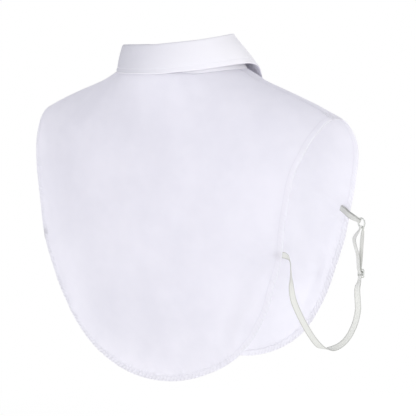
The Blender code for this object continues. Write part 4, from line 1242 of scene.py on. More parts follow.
def make_ring(name, matrix):
    """The moulded ring."""
    bm = bmesh.new()
    rows, sides = 64, 18
    verts = []
    for i in range(rows):
        a = 2.0 * math.pi * i / rows
        for k in range(sides):
            b = 2.0 * math.pi * k / sides
            reach = RING_RADIUS + RING_WIRE * math.cos(b)
            place = (reach * math.cos(a), reach * math.sin(a), RING_WIRE * math.sin(b))
            verts.append(bm.verts.new(place))
    for i in range(rows):
        for k in range(sides):
            j, m = (i + 1) % rows * sides, (k + 1) % sides
            bm.faces.new((verts[i * sides + k], verts[j + k], verts[j + m], verts[i * sides + m]))
    bmesh.ops.recalc_face_normals(bm, faces=bm.faces)
    return from_bmesh(name, bm, matrix)


# Buttons

def turned_button():
    """A turned shirt button's mesh: a rim, a dished middle and four holes, on its back at the origin."""
    points = [(radius * BUTTON_RADIUS, 0.0, up * BUTTON_THICK) for radius, up in BUTTON_PROFILE.rows]
    profile = smooth_route(points, 0.00025)
    steps = 64
    bm = bmesh.new()
    rings = []
    for radius, _, up in profile[1:-1]:
        ring = []
        for k in range(steps):
            turn = 2.0 * math.pi * k / steps
            ring.append(bm.verts.new((radius * math.cos(turn), radius * math.sin(turn), up)))
        rings.append(ring)
    for a, b in zip(rings, rings[1:]):
        for k in range(steps):
            m = (k + 1) % steps
            bm.faces.new((a[k], b[k], b[m], a[m]))
    bm.faces.new(rings[0])
    bm.faces.new(list(reversed(rings[-1])))
    bmesh.ops.recalc_face_normals(bm, faces=bm.faces)
    blank = from_bmesh("button_blank", bm)
    cutter_bm = bmesh.new()
    for corner in range(4):
        turn = math.pi / 4.0 + corner * math.pi / 2.0
        where = Vector((math.cos(turn), math.sin(turn), 0.0)) * HOLE_OFFSET * math.sqrt(2.0)
        bmesh.ops.create_cone(cutter_bm, cap_ends=True, segments=20, radius1=HOLE_RADIUS,
                              radius2=HOLE_RADIUS, depth=0.01, matrix=Matrix.Translation(where))
    cutter = from_bmesh("button_holes", cutter_bm)
    holes = blank.modifiers.new("holes", "BOOLEAN")
    holes.object = cutter
    holes.operation = "DIFFERENCE"
    applied(blank)
    bpy.data.objects.remove(cutter)
    mesh = blank.data
    bpy.data.objects.remove(blank)
    return mesh


def button_places():
    """Each button's middle and the direction that it faces, the stand's first."""
    angle = 180.0
    line, _ = stand_line(angle)
    low, high = line[0], line[-1]
    share = (STAND_BUTTON_UP - low[2]) / (high[2] - low[2])
    out = unit(np.cross(high - low, (1.0, 0.0, 0.0)))
    out = out * np.sign(out[1])
    places = [(low + (high - low) * share + out * (COLLAR_CLOTH / 2.0 + GAP * 1.3), out)]
    for up in BUTTON_UPS:
        down = down_at_up(np.array(0.0), up, FRONT)
        normal = outward(np.array(0.0), down, FRONT)
        face = skin(0.0, down, FRONT) + normal * BUTTON_LIFT
        places.append((face, normal))
    return places


def placket_face(right, down, extra=0.0):
    """Places on the outer face of the placket."""
    lift = right_front_lift(right) + PLACKET_GAP + PLACKET_CLOTH + extra
    normal = outward(right, down, FRONT)
    return skin(right, down, FRONT) + normal * np.asarray(lift)[..., None], normal


# Stitches

def stitch_tree():
    """A node tree that lays rounded stitches along lines, turned to the cloth under them."""
    tree = bpy.data.node_groups.new("stitches", "GeometryNodeTree")
    face = tree.interface
    face.new_socket("Geometry", in_out="INPUT", socket_type="NodeSocketGeometry")
    face.new_socket("Geometry", in_out="OUTPUT", socket_type="NodeSocketGeometry")
    sizes = (("Pitch", 0.0022), ("Length", 0.0017), ("Width", 0.00034), ("Height", 0.0003), ("Slant", 0.06))
    for label, default in sizes:
        socket = face.new_socket(label, in_out="INPUT", socket_type="NodeSocketFloat")
        socket.default_value = default
    face.new_socket("Seed", in_out="INPUT", socket_type="NodeSocketInt")
    face.new_socket("Thread", in_out="INPUT", socket_type="NodeSocketMaterial")

    def add(kind, inputs=None, **options):
        """Adds a node with its options, links or sets its inputs, and hands back its outputs."""
        node = tree.nodes.new(kind)
        for key, value in options.items():
            setattr(node, key, value)
        for key, value in (inputs or {}).items():
            if isinstance(value, bpy.types.NodeSocket):
                tree.links.new(value, node.inputs[key])
            else:
                node.inputs[key].default_value = value
        return node.outputs

    given = add("NodeGroupInput")
    curve = add("GeometryNodeMeshToCurve", {"Mesh": given["Geometry"]})["Curve"]
    spaced = {"Curve": curve, "Length": given["Pitch"]}
    line = add("GeometryNodeResampleCurve", spaced, mode="LENGTH")["Curve"]
    tangent = add("GeometryNodeInputTangent")["Tangent"]
    normal = add("GeometryNodeInputNamedAttribute", {"Name": "out"}, data_type="FLOAT_VECTOR")["Attribute"]
    ahead = add("FunctionNodeAlignRotationToVector", {"Vector": tangent}, axis="X")["Rotation"]
    upright = add("FunctionNodeAlignRotationToVector", {"Rotation": ahead, "Vector": normal},
                  axis="Z", pivot_axis="X")["Rotation"]
    low = add("ShaderNodeMath", {0: given["Slant"], 1: -1.0}, operation="MULTIPLY")[0]
    slant = {2: low, 3: given["Slant"], "Seed": given["Seed"]}
    jitter = add("FunctionNodeRandomValue", slant, data_type="FLOAT")[1]
    spin = add("FunctionNodeAxisAngleToRotation", {"Axis": (0.0, 0.0, 1.0), "Angle": jitter})["Rotation"]
    turned = add("FunctionNodeRotateRotation", {"Rotation": upright, "Rotate By": spin},
                 rotation_space="LOCAL")["Rotation"]
    ball = add("GeometryNodeMeshUVSphere", {"Segments": 6, "Rings": 5, "Radius": 0.5})["Mesh"]
    size = {"X": given["Length"], "Y": given["Width"], "Z": given["Height"]}
    size = add("ShaderNodeCombineXYZ", size)["Vector"]
    shaped = add("GeometryNodeTransform", {"Geometry": ball, "Scale": size})["Geometry"]
    laid = {"Points": line, "Instance": shaped, "Rotation": turned}
    laid = add("GeometryNodeInstanceOnPoints", laid)["Instances"]
    real = add("GeometryNodeRealizeInstances", {"Geometry": laid})["Geometry"]
    soft = add("GeometryNodeSetShadeSmooth", {"Geometry": real})["Geometry"]
    coated = add("GeometryNodeSetMaterial", {"Geometry": soft, "Material": given["Thread"]})["Geometry"]
    add("NodeGroupOutput", {"Geometry": coated})
    return tree


def stitch(name, lines, seed, **sizes):
    """Stitches laid along lines given as (places, normals), as one plain mesh."""
    verts, edges, normals = [], [], []
    for places, out in lines:
        first = len(verts)
        verts.extend(world(places).tolist())
        normals.extend(world(out).tolist())
        edges.extend((first + i, first + i + 1) for i in range(len(places) - 1))
    mesh = bpy.data.meshes.new(name)
    mesh.from_pydata(verts, edges, [])
    data = mesh.attributes.new("out", "FLOAT_VECTOR", "POINT").data
    data.foreach_set("vector", np.asarray(normals, dtype=np.float32).ravel())
    piece = bpy.data.objects.new(name, mesh)
    bpy.context.scene.collection.objects.link(piece)
    tree = bpy.data.node_groups.get("stitches") or stitch_tree()
    modifier = piece.modifiers.new("stitches", "NODES")
    modifier.node_group = tree
    values = {**sizes, "Seed": seed, "Thread": thread_finish()}
    for item in tree.interface.items_tree:
        if item.in_out == "INPUT" and item.name in values:
            modifier[item.identifier] = values[item.name]
    return applied(piece)


# Stitch lines

def stitch_sizes():
    """The stitches' sizes for a tree's inputs."""
    sewing = settings().stitching
    width = sewing.width
    return {"Pitch": sewing.pitch, "Length": sewing.length, "Width": width, "Height": width * 0.9}


def panel_line(side, sign, cut, places, inner=0.0):
    """A line of places in the pattern, laid on a panel's outer face or this far under it."""
    face, normal, *_ = panel_places(side, sign, places, cut)
    return face - normal * inner, normal * (1.0 if inner == 0.0 else -1.0)


def runs(places, limit=0.004):
    """A row of places split where it jumps."""
    jumps = np.flatnonzero(np.hypot(*np.diff(places, axis=0).T) > limit) + 1
    return [part for part in np.split(places, jumps) if len(part) > 3]


def panel_stitch_lines(side, sign, cut):
    """The hem's stitches, seen outside and inside, and the topstitch beside the shoulder seams."""
    outline, hem, seams, _ = cut
    cloth = settings().cloth
    lines = []
    for part in runs(inner_line(hem, outline, cloth.hem_width - HEM_STITCH_IN)):
        lines.append(panel_line(side, sign, cut, part))
        lines.append(panel_line(side, sign, cut, part, cloth.hem_thickness))
    if side == BACK:
        for seam in seams:
            for part in runs(inner_line(seam, outline, SEAM_STITCH)):
                lines.append(panel_line(side, sign, cut, part[3:-3]))
    return lines


def edge_stitch_lines(places, normal, gap, offset, half):
    """Stitches along a band's free edges, this far in, on the face that shows."""
    rows, columns = gap.shape
    deep = [i for i in range(rows) if gap[i].max() >= offset]
    lines, low = [], []
    for i in deep:
        k = columns - 1 - int(np.argmax(gap[i][::-1] >= offset))
        if k + 1 < columns and gap[i, k] > gap[i, k + 1]:
            t = (gap[i, k] - offset) / (gap[i, k] - gap[i, k + 1])
            place = places[i, k] * (1.0 - t) + places[i, k + 1] * t
        else:
            place = places[i, k]
        low.append((place + normal[i, k] * half, normal[i, k]))
    for i in (deep[0], deep[-1]):
        far_in = np.flatnonzero(gap[i] >= offset * 0.99)
        ends = [(places[i, k] + normal[i, k] * half, normal[i, k]) for k in far_in if k > FALL_TURN]
        if len(ends) > 3:
            lines.append(tuple(np.array(part) for part in zip(*ends)))
    lines.append(tuple(np.array(part) for part in zip(*low)))
    return lines


def fall_relief(run, reach, gap):
    """The fall's stitch line, the faint ripple beside it and the leaf's slow bows."""
    ripple = 0.00010 * waver(run, 0.0105, 0.7) * np.exp(-((gap - 0.0035) / 0.0035) ** 2)
    bow = 0.00035 * waver(run, 0.071, 2.0) * ease((reach - 0.012) / 0.01)
    return groove(gap, COLLAR_STITCH, EDGE_GROOVE) + ripple + bow


def make_placket():
    """The placket strip with its stitch lines, its area and its flat size."""
    neck = float(down_at_forward(np.array(0.0), np.array(0.0648), FRONT))
    hem = float(down_at_up(np.array(0.0), np.array(FRONT_EDGE.rows[-1][0] + GAP), FRONT))
    right = np.linspace(-PLACKET_HALF, PLACKET_HALF, PLACKET_COLUMNS)
    down = np.linspace(neck, hem, PLACKET_ROWS)
    right, down = np.meshgrid(right, down)
    gap = np.minimum(PLACKET_HALF - np.abs(right), np.minimum(down - neck, hem - down))
    relief = groove(gap, PLACKET_STITCH, EDGE_GROOVE)
    relief = relief + 0.00012 * waver(down, 0.011, 0.3) * np.exp(-((gap - 0.0025) / 0.003) ** 2)
    face, normal = placket_face(right, down, relief)
    tuck = PLACKET_CLOTH * 0.3 * (1.0 - ease(gap / 0.0008))[..., None]
    outer = world(face - normal * tuck).reshape(-1, 3)
    inner = world(face - normal * (PLACKET_CLOTH - tuck)).reshape(-1, 3)
    flat = np.stack((right, down), -1).reshape(-1, 2)
    faces = grid_faces(PLACKET_ROWS, PLACKET_COLUMNS)
    faces = facing(outer, faces, world(normal).reshape(-1, 3))
    piece = new_piece("front_strip", *walled(outer, inner, faces, flat, {"edge": gap.ravel()}))
    lines = []
    for edge in (-1.0, 1.0):
        steps = np.linspace(neck + 0.002, hem - 0.002, 200)
        across = np.full(200, edge * (PLACKET_HALF - PLACKET_STITCH))
        lines.append(placket_face(across, steps, -0.0001))
    size = (round(2.0 * PLACKET_HALF, 4), round(hem - neck, 4))
    return piece, lines, round(size[0] * size[1], 5), size


def buttonhole_lines():
    """Worked buttonholes under the buttons: two close rows of short stitches and a bar at each end."""
    lines = []
    for up in BUTTON_UPS:
        middle = float(down_at_up(np.array(0.0), np.array(up), FRONT))
        for edge in (-1.0, 1.0):
            down = np.linspace(middle - BUTTONHOLE_HALF, middle + BUTTONHOLE_HALF, 24)
            lines.append(placket_face(np.full(24, edge * 0.0007), down, 0.00005))
        for end in (-1.0, 1.0):
            across = np.linspace(-0.0013, 0.0013, 6)
            down = np.full(6, middle + end * BUTTONHOLE_HALF)
            lines.append(placket_face(across, down, 0.0001))
    return lines


def tack_lines(mirrored):
    """Bar tacks over the braid's sewn end at the back's edge and over the tab's end inside the front."""
    lines = []
    ends = ((run_route(mirrored, 0.0008), (0.0012, 0.0030)), (tab_route(mirrored, 0.0008), (0.0012, 0.0032)))
    for (route, width), starts in ends:
        steps = steps_along(route)
        for start in starts:
            i = int(np.searchsorted(steps, start))
            tangent = unit(route[i + 1] - route[i])
            normal = unit(np.cross(tangent, unit(width[i])))
            for face in (-1.0, 1.0):
                share = np.linspace(-0.46, 0.46, 12)[:, None]
                row = route[i] + width[i] * share + normal * face * STRAP_THICK * 0.52
                lines.append((row, np.tile(normal * face, (12, 1))))
    return lines


def button_thread():
    """Two crossing bars of thread through a button's holes, with a short shank under it."""
    bm = bmesh.new()
    reach, low, middle = HOLE_OFFSET, -0.0004, BUTTON_THICK * 0.5
    path = ((-reach, low), (-reach, middle), (-reach * 0.6, middle + 0.0003), (reach * 0.6, middle + 0.0003),
            (reach, middle), (reach, low))
    for x in (-reach, reach):
        for shift in (-STRAND_SHIFT, STRAND_SHIFT):
            route = smooth_route([(x + shift, along, up) for along, up in path], 0.0003)
            tangent = unit(np.gradient(route, axis=0))
            side = np.array((1.0, 0.0, 0.0))
            rings = []
            for place, ahead in zip(route, tangent):
                up = np.cross(ahead, side)
                ring = [bm.verts.new(place + (side * math.cos(a) + up * math.sin(a)) * BUTTON_THREAD)
                        for a in np.arange(8) * math.pi / 4.0]
                rings.append(ring)
            for a, b in zip(rings, rings[1:]):
                for k in range(8):
                    bm.faces.new((a[k], a[(k + 1) % 8], b[(k + 1) % 8], b[k]))
            bm.faces.new(rings[0])
            bm.faces.new(list(reversed(rings[-1])))
    bmesh.ops.recalc_face_normals(bm, faces=bm.faces)
    return bm


# Finishes

class Sum:
    """A shader socket that takes Python's operators and adds the nodes for them."""

    def __init__(self, graph, socket):
        """Wraps one output socket of a material's graph."""
        self.graph = graph
        self.socket = socket

    def math(self, operation, *values):
        """One Math node on this value and others."""
        node = self.graph.node("ShaderNodeMath", {"operation": operation}, self, *values)
        return Sum(self.graph, node.outputs[0])

    def __add__(self, other):
        return self.math("ADD", other)

    def __sub__(self, other):
        return self.math("SUBTRACT", other)

    def __rsub__(self, other):
        return self.math("MULTIPLY", -1.0).math("ADD", other)

    def __mul__(self, other):
        return self.math("MULTIPLY", other)

    __radd__ = __add__
    __rmul__ = __mul__

    def sine(self):
        """The sine of this value."""
        return self.math("SINE")

    def clamp(self):
        """This value kept from 0 to 1."""
        return self.math("MAXIMUM", 0.0).math("MINIMUM", 1.0)


class Graph:
    """A material's node graph with its Principled shader."""

    def __init__(self, name, **constants):
        """Makes a material whose plain values are set on the shader's own sockets."""
        self.material = bpy.data.materials.new(name)
        self.material.use_nodes = True
        self.tree = self.material.node_tree
        self.shader = self.tree.nodes["Principled BSDF"]
        for label, value in constants.items():
            self.shader.inputs[label.replace("_", " ")].default_value = value

    def node(self, kind, settings_of=None, *values, **sockets):
        """Adds a node: its settings first, then the values or links of its sockets."""
        node = self.tree.nodes.new(kind)
        for key, value in (settings_of or {}).items():
            setattr(node, key, value)
        for key, value in [*enumerate(values), *sockets.items()]:
            socket = node.inputs[key if isinstance(key, int) else key.replace("_", " ")]
            if isinstance(value, Sum):
                self.tree.links.new(value.socket, socket)
            elif isinstance(value, bpy.types.NodeSocket):
                self.tree.links.new(value, socket)
            else:
                socket.default_value = value
        return node

    def object_place(self):
        """The place on the object."""
        return self.node("ShaderNodeTexCoord").outputs["Object"]

    def plane(self):
        """The place in the pattern."""
        return self.node("ShaderNodeUVMap", {"uv_map": "pattern"}).outputs["UV"]

    def pattern(self):
        """The two pattern coordinates in metres, as numbers."""
        split = self.node("ShaderNodeSeparateXYZ", None, self.plane())
        return Sum(self, split.outputs["X"]), Sum(self, split.outputs["Y"])

    def field(self, name):
        """A named number of the mesh."""
        return Sum(self, self.node("ShaderNodeAttribute", {"attribute_name": name}).outputs["Fac"])

    def noise(self, scale, detail=3.0, vector=None, roughness=0.5):
        """Smooth noise from 0 to 1."""
        node = self.node("ShaderNodeTexNoise", None, Vector=vector or self.object_place(), Scale=scale,
                         Detail=detail, Roughness=roughness)
        return Sum(self, node.outputs["Fac"])

    def stretched(self, vector, across, along):
        """A place scaled on its own axes, for streaks."""
        node = self.node("ShaderNodeVectorMath", {"operation": "MULTIPLY"}, vector, (across, along, 1.0))
        return node.outputs["Vector"]

    def blend(self, share, a, b):
        """Two colours mixed."""
        node = self.node("ShaderNodeMix", {"data_type": "RGBA"})
        for index, value in ((0, share), (6, a), (7, b)):
            if isinstance(value, Sum):
                self.tree.links.new(value.socket, node.inputs[index])
            elif isinstance(value, bpy.types.NodeSocket):
                self.tree.links.new(value, node.inputs[index])
            else:
                node.inputs[index].default_value = value if index == 0 else (*value[:3], 1.0)
        return node.outputs[2]

    def finish(self, colour=None, roughness=None, bumps=(), through=0.0):
        """Links colour, roughness, bumps as (height, strength, distance), and the light let through."""
        if colour is not None:
            self.tree.links.new(colour, self.shader.inputs["Base Color"])
        if roughness is not None:
            self.tree.links.new(roughness.socket, self.shader.inputs["Roughness"])
        normal = None
        for height, strength, distance in bumps:
            sockets = {"Height": height, "Strength": strength, "Distance": distance}
            if normal is not None:
                sockets["Normal"] = normal
            normal = self.node("ShaderNodeBump", None, **sockets).outputs["Normal"]
        if normal is not None:
            self.tree.links.new(normal, self.shader.inputs["Normal"])
        if through:
            passed = self.node("ShaderNodeBsdfTranslucent", None, Color=(0.98, 0.98, 1.0, 1.0))
            mix = self.node("ShaderNodeMixShader", None, through, self.shader.outputs[0], passed.outputs[0])
            self.tree.links.new(mix.outputs[0], self.tree.nodes["Material Output"].inputs["Surface"])
        return self.material


def tinted(colour, factor, blue=0.0):
    """A colour made lighter or darker, and cooler or warmer."""
    return tuple(min(c * factor * (1.0 + blue * k), 1.0) for c, k in zip(colour, (-0.5, -0.2, 1.0)))


def cotton_finish(name="shirting", crisp=False):
    """Plain-woven shirting: crossing threads, slubs, faint creasing and a trace of tone, with a painted
    highlight on folded edges, painted shade along stitch lines and hem ripples, and on crisp cloth painted
    light towards the camera's right.
    """
    known = bpy.data.materials.get(name)
    if known:
        return known
    colour = tuple(settings().cloth.colour)
    graph = Graph(name, Roughness=0.86, Metallic=0.0, Sheen_Weight=0.12, Sheen_Roughness=0.5,
                  Specular_IOR_Level=0.22)
    across, along = graph.pattern()
    plane = graph.plane()
    turn = 2.0 * math.pi / WEAVE_PITCH
    warp, weft = (across * turn).sine(), (along * turn).sine()
    weave = (warp * weft) * 0.5 + 0.5
    slub_warp = graph.noise(1.0, 2.0, graph.stretched(plane, 2400.0, 110.0))
    slub_weft = graph.noise(1.0, 2.0, graph.stretched(plane, 110.0, 2400.0))
    threads = slub_warp * 0.5 + slub_weft * 0.5
    cloud = graph.noise(14.0, 3.0, roughness=0.6)
    patch = graph.noise(70.0, 3.0, roughness=0.6)
    rumple = graph.noise(95.0 if crisp else 60.0, 4.0, roughness=0.55)
    tone = (cloud - 0.5) * 3.0 + (patch - 0.5) * 1.5 + (threads - 0.5) * 0.5 + (weave - 0.5) * 0.15 + 0.5
    base = graph.blend(tone.clamp(), tinted(colour, 0.945, 0.006), tinted(colour, 1.035, -0.004))
    # Crisp cloth gets painted light: its colour is painted lighter towards the camera's right and darker in
    # front of the shoulders
    if crisp:
        place = graph.node("ShaderNodeSeparateXYZ", None, graph.object_place())
        x, y = Sum(graph, place.outputs["X"]), Sum(graph, place.outputs["Y"])
        turn = math.radians(CAMERA_TURN)
        aside = x * -math.cos(turn) - y * math.sin(turn)
        behind = 1.0 - (y * -PAINTED_LIGHT_END_SLOPE - PAINTED_LIGHT_END).clamp()
        lit = (aside * PAINTED_LIGHT_SLOPE + PAINTED_LIGHT_MIDDLE).clamp() * behind
        base = graph.blend(lit, tinted(colour, 0.80, 0.03), tinted(colour, 1.19, 0.01))
    edge = graph.field("edge")
    # Painted highlight: the colour is made lighter on the rim of a folded edge
    rim = (1.0 - edge * (1.0 / PAINTED_RIM_HIGHLIGHT_WIDTH)).clamp()
    # Painted shade: a darker band along the stitch line, this far in from the edge
    sewn = 1.0 - (edge - PAINTED_SEAM_SHADE_GAP).math("ABSOLUTE") * (1.0 / PAINTED_SEAM_SHADE_WIDTH)
    # Painted shade of ripples near the hem, darkest where the hem puckers most; the same ripples also set a
    # bump
    near = (1.0 - edge * (1.0 / RIPPLE_REACH)).clamp() * graph.field("pucker")
    ripple = (graph.field("run") * (2.0 * math.pi / RIPPLE)).sine() * near
    # The painted highlight laid on the rim
    base = graph.blend(rim * 0.7, base, tinted(colour, 1.10, -0.01))
    # The painted shade of the stitch line, faint on crisp cloth
    base = graph.blend(sewn.clamp() * (0.10 if crisp else 0.55), base, tinted(colour, 0.82, 0.01))
    # The ripples' painted shade
    base = graph.blend(ripple.clamp() * 0.70, base, tinted(colour, 0.62, 0.01))
    bumps = [(rumple, 0.10 if crisp else 0.18, 0.004), (ripple, 0.7, 0.0007), (threads, 0.30, 0.00025),
             (weave, 0.35, 0.00010)]
    through = CLOTH_THROUGH * (CRISP_THROUGH if crisp else 1.0)
    return graph.finish(base, 0.80 + 0.10 * threads, bumps, through)


def thread_finish():
    """Spun sewing thread."""
    known = bpy.data.materials.get("sewing_thread")
    if known:
        return known
    colour = tinted(tuple(settings().cloth.colour), 1.05, 0.0)
    graph = Graph("sewing_thread", Roughness=0.62, Metallic=0.0, Sheen_Weight=0.2, Specular_IOR_Level=0.35)
    fibre = graph.noise(2600.0, 2.0)
    base = graph.blend(fibre, tinted(colour, 0.95), tinted(colour, 1.03))
    return graph.finish(base, 0.55 + 0.15 * fibre, [(fibre, 0.25, 0.0001)])


def braid_finish(name="elastic_braid", depth=1.0):
    """Flat braided elastic: two sets of slanting strands over ribs, with darker selvedges."""
    known = bpy.data.materials.get(name)
    if known:
        return known
    colour = tinted(tuple(settings().strap.colour), depth)
    graph = Graph(name, Roughness=0.78, Metallic=0.0, Sheen_Weight=0.15, Specular_IOR_Level=0.3)
    along, across = graph.pattern()
    rib = (across * (2.0 * math.pi / BRAID_RIB)).sine()
    up = ((along + across * BRAID_SLANT) * (2.0 * math.pi / BRAID_PITCH)).sine()
    back = ((along - across * BRAID_SLANT) * (2.0 * math.pi / BRAID_PITCH)).sine()
    side = (across * (math.pi / BRAID_RIB)).sine()
    knit = (up * (side * 0.5 + 0.5) + back * (0.5 - side * 0.5)) * 0.5 + 0.5
    ribs = rib * 0.5 + 0.5
    height = knit * 0.6 + ribs * 0.4
    fuzz = graph.noise(900.0, 3.0)
    shade = (height * 0.7 + fuzz * 0.3).clamp()
    base = graph.blend(shade, tinted(colour, 0.80, -0.02), tinted(colour, 1.10, 0.01))
    selvedge = ((across.math("ABSOLUTE") - SELVEDGE) * SELVEDGE_SLOPE).clamp()
    base = graph.blend(selvedge * 0.55, base, tinted(colour, 0.50, -0.01))
    return graph.finish(base, 0.70 + 0.14 * fuzz, [(fuzz, 0.25, 0.0002), (height, 0.7, 0.00025)])


def plastic_finish():
    """Clear grey moulded plastic with faint flow marks and handling scuffs."""
    known = bpy.data.materials.get("moulded_plastic")
    if known:
        return known
    colour = tuple(settings().strap.plastic)
    graph = Graph("moulded_plastic", Metallic=0.0, Coat_Weight=0.3, Coat_Roughness=0.12,
                  Specular_IOR_Level=0.5)
    flow = graph.noise(420.0, 3.0)
    scuff = graph.noise(2400.0, 2.0)
    base = graph.blend(flow, tinted(colour, 0.90), tinted(colour, 1.08))
    return graph.finish(base, 0.26 + 0.22 * scuff, [(flow, 0.08, 0.0004)])


def button_finish():
    """Pearly pressed buttons: cloudy layers under a smooth gloss."""
    known = bpy.data.materials.get("button_pearl")
    if known:
        return known
    colour = tuple(settings().button.colour)
    graph = Graph("button_pearl", Metallic=0.0, Coat_Weight=0.4, Coat_Roughness=0.08, Specular_IOR_Level=0.5)
    place = graph.object_place()
    layers = graph.noise(330.0, 4.0, graph.stretched(place, 1.0, 2.6))
    cloud = graph.noise(900.0, 2.0)
    mixed = (layers * 0.7 + cloud * 0.3).clamp()
    base = graph.blend(mixed, tinted(colour, 0.86, -0.02), tinted(colour, 1.10, 0.02))
    return graph.finish(base, 0.20 + 0.14 * cloud, [(layers, 0.05, 0.0003)])


def floor_finish():
    """A plain pale floor that brightens to white away from the collar."""
    graph = Graph("floor", Roughness=0.9, Metallic=0.0, Specular_IOR_Level=0.1)
    grain = graph.noise(3.0, 2.0)
    shade = tuple(settings().stage.floor)
    graph.finish(graph.blend(grain, tinted(shade, 0.995), tinted(shade, 1.005)))
    reach = graph.node("ShaderNodeVectorMath", {"operation": "LENGTH"}, graph.object_place())
    far = (Sum(graph, reach.outputs["Value"]) - 0.30).clamp() * 0.5 + 0.5
    glow = graph.node("ShaderNodeEmission", None, Color=(1.0, 1.0, 1.0, 1.0), Strength=1.0)
    mix = graph.node("ShaderNodeMixShader", None, far, graph.shader.outputs[0], glow.outputs[0])
    surface = graph.tree.nodes["Material Output"].inputs["Surface"]
    graph.tree.links.new(mix.outputs[0], surface)
    return graph.material


# Settings

def length_setting(name, description, default, low, high, precision=4):
    """A length that a user may change, in metres."""
    return FloatProperty(name=name, description=description, subtype="DISTANCE", unit="LENGTH",
                         default=default, min=low, max=high, precision=precision)


def colour_setting(name, description, default):
    """A colour that a user may change."""
    return FloatVectorProperty(name=name, description=description, subtype="COLOR", size=3, min=0.0, max=1.0,
                               default=default)


class CollarCloth(bpy.types.PropertyGroup):
    """Sizes and colour of the shirting."""

    colour: colour_setting("Colour", "Colour of the cotton", (0.828, 0.812, 0.870))
    thickness: length_setting("Thickness", "Cloth wall away from the hem", 0.0007, 0.0003, 0.0011)
    hem_thickness: length_setting("Hem thickness", "Cloth wall in the turned hem", 0.0015, 0.0008, 0.0019)
    hem_width: length_setting("Hem width", "Width of the turned hem", 0.0058, 0.003, 0.008)
    pucker_depth: length_setting("Pucker depth", "How far the hem ripples", 0.00055, 0.0, 0.0015, 5)
    pucker_length: length_setting("Pucker length", "Length of one ripple along the hem", 0.0078, 0.003, 0.02)


class CollarStitching(bpy.types.PropertyGroup):
    """Sizes of the sewing thread's stitches."""

    pitch: length_setting("Pitch", "From one stitch to the next", 0.0023, 0.001, 0.005)
    length: length_setting("Length", "Length of one stitch", 0.0019, 0.0008, 0.004)
    width: length_setting("Thread", "Width of the thread", 0.00036, 0.0001, 0.001, 5)


class CollarStrap(bpy.types.PropertyGroup):
    """Colours of the elastic straps and their fittings."""

    colour: colour_setting("Braid", "Colour of the braid", (0.74, 0.745, 0.715))
    plastic: colour_setting("Fittings", "Colour of the ring and the slider", (0.58, 0.59, 0.56))


class CollarButton(bpy.types.PropertyGroup):
    """Colour of the buttons."""

    colour: colour_setting("Colour", "Colour of the buttons", (0.80, 0.80, 0.82))


class CollarStage(bpy.types.PropertyGroup):
    """Floor and light of the studio."""

    floor: colour_setting("Floor", "Colour of the floor", (0.98, 0.98, 0.98))
    sky: FloatProperty(name="Room light", description="Light from all round", default=0.66, min=0.0, max=3.0)
    key: FloatProperty(name="Key light", description="Power of the soft lights", subtype="POWER",
                       unit="POWER", default=10.0, min=0.0, max=200.0)
    drop: length_setting("Floor drop", "How far the floor lies below the hem", 0.30, 0.0, 2.0, 2)


class CollarSettings(bpy.types.PropertyGroup):
    """Everything that a user may change."""

    cloth: PointerProperty(type=CollarCloth)
    stitching: PointerProperty(type=CollarStitching)
    strap: PointerProperty(type=CollarStrap)
    button: PointerProperty(type=CollarButton)
    stage: PointerProperty(type=CollarStage)


def settings():
    """The scene's settings for the collar."""
    return bpy.context.scene.shirt_collar


# Operators

class COLLAR_OT_camera(bpy.types.Operator):
    """Place the camera behind the wearer's right shoulder"""

    bl_idname = "collar.camera"
    bl_label = "Camera"

    def execute(self, context):
        """Makes the camera."""
        turn, tilt = math.radians(CAMERA_TURN), math.radians(CAMERA_TILT)
        target = Vector(CAMERA_TARGET)
        away = Vector((-math.sin(turn) * math.cos(tilt), math.cos(turn) * math.cos(tilt), math.sin(tilt)))
        data = bpy.data.cameras.new("camera")
        data.sensor_width = SENSOR
        data.sensor_fit = "HORIZONTAL"
        data.lens = SENSOR * CAMERA_FOCUS / PHOTO_WIDTH
        data.clip_start, data.clip_end = 0.05, 60.0
        camera = bpy.data.objects.new("camera", data)
        camera.location = target + away * CAMERA_DISTANCE
        camera.rotation_euler = (-away).to_track_quat("-Z", "Y").to_euler()
        context.scene.collection.objects.link(camera)
        context.scene.camera = camera
        return {"FINISHED"}


class COLLAR_OT_straps(bpy.types.Operator):
    """Make both elastic straps with their sliders, rings and tabs"""

    bl_idname = "collar.straps"
    bl_label = "Straps"

    def execute(self, context):
        for side, mirrored in (("right", False), ("left", True)):
            route, width = run_route(mirrored, BRAID_SPACING)
            run, path, length = sweep(f"strap_{side}_braid", route, width, STRAP_THICK)
            loop, *_ = sweep(f"strap_{side}_doubled", *loop_route(mirrored, LOOP_SPACING), LOOP_THICK)
            tab, *_ = sweep(f"strap_{side}_fold", *tab_route(mirrored, LOOP_SPACING), LOOP_THICK)
            for piece, node in ((run, "run"), (loop, "loop"), (tab, "tab")):
                finish = braid_finish("tab_braid", 0.88) if piece is tab else braid_finish()
                finish_piece(piece, finish, "braid", f"strap_{side}_{node}")
            ring = make_ring(f"{side}_ring", plate_axes(RING_CENTRE, mirrored))
            slider = make_slider(f"{side}_slider", plate_axes(SLIDER_CENTRE, mirrored))
            finish_piece(ring, plastic_finish(), "plastic", f"ring_{side}")
            finish_piece(slider, plastic_finish(), "plastic", f"slider_{side}")
            tack = stitch(f"strap_{side}_tacks", tack_lines(mirrored), 5, Pitch=0.0009, Length=0.0011,
                          Width=0.00034, Height=0.0003)
            finish_piece(tack, thread_finish(), "cotton")
        return {"FINISHED"}


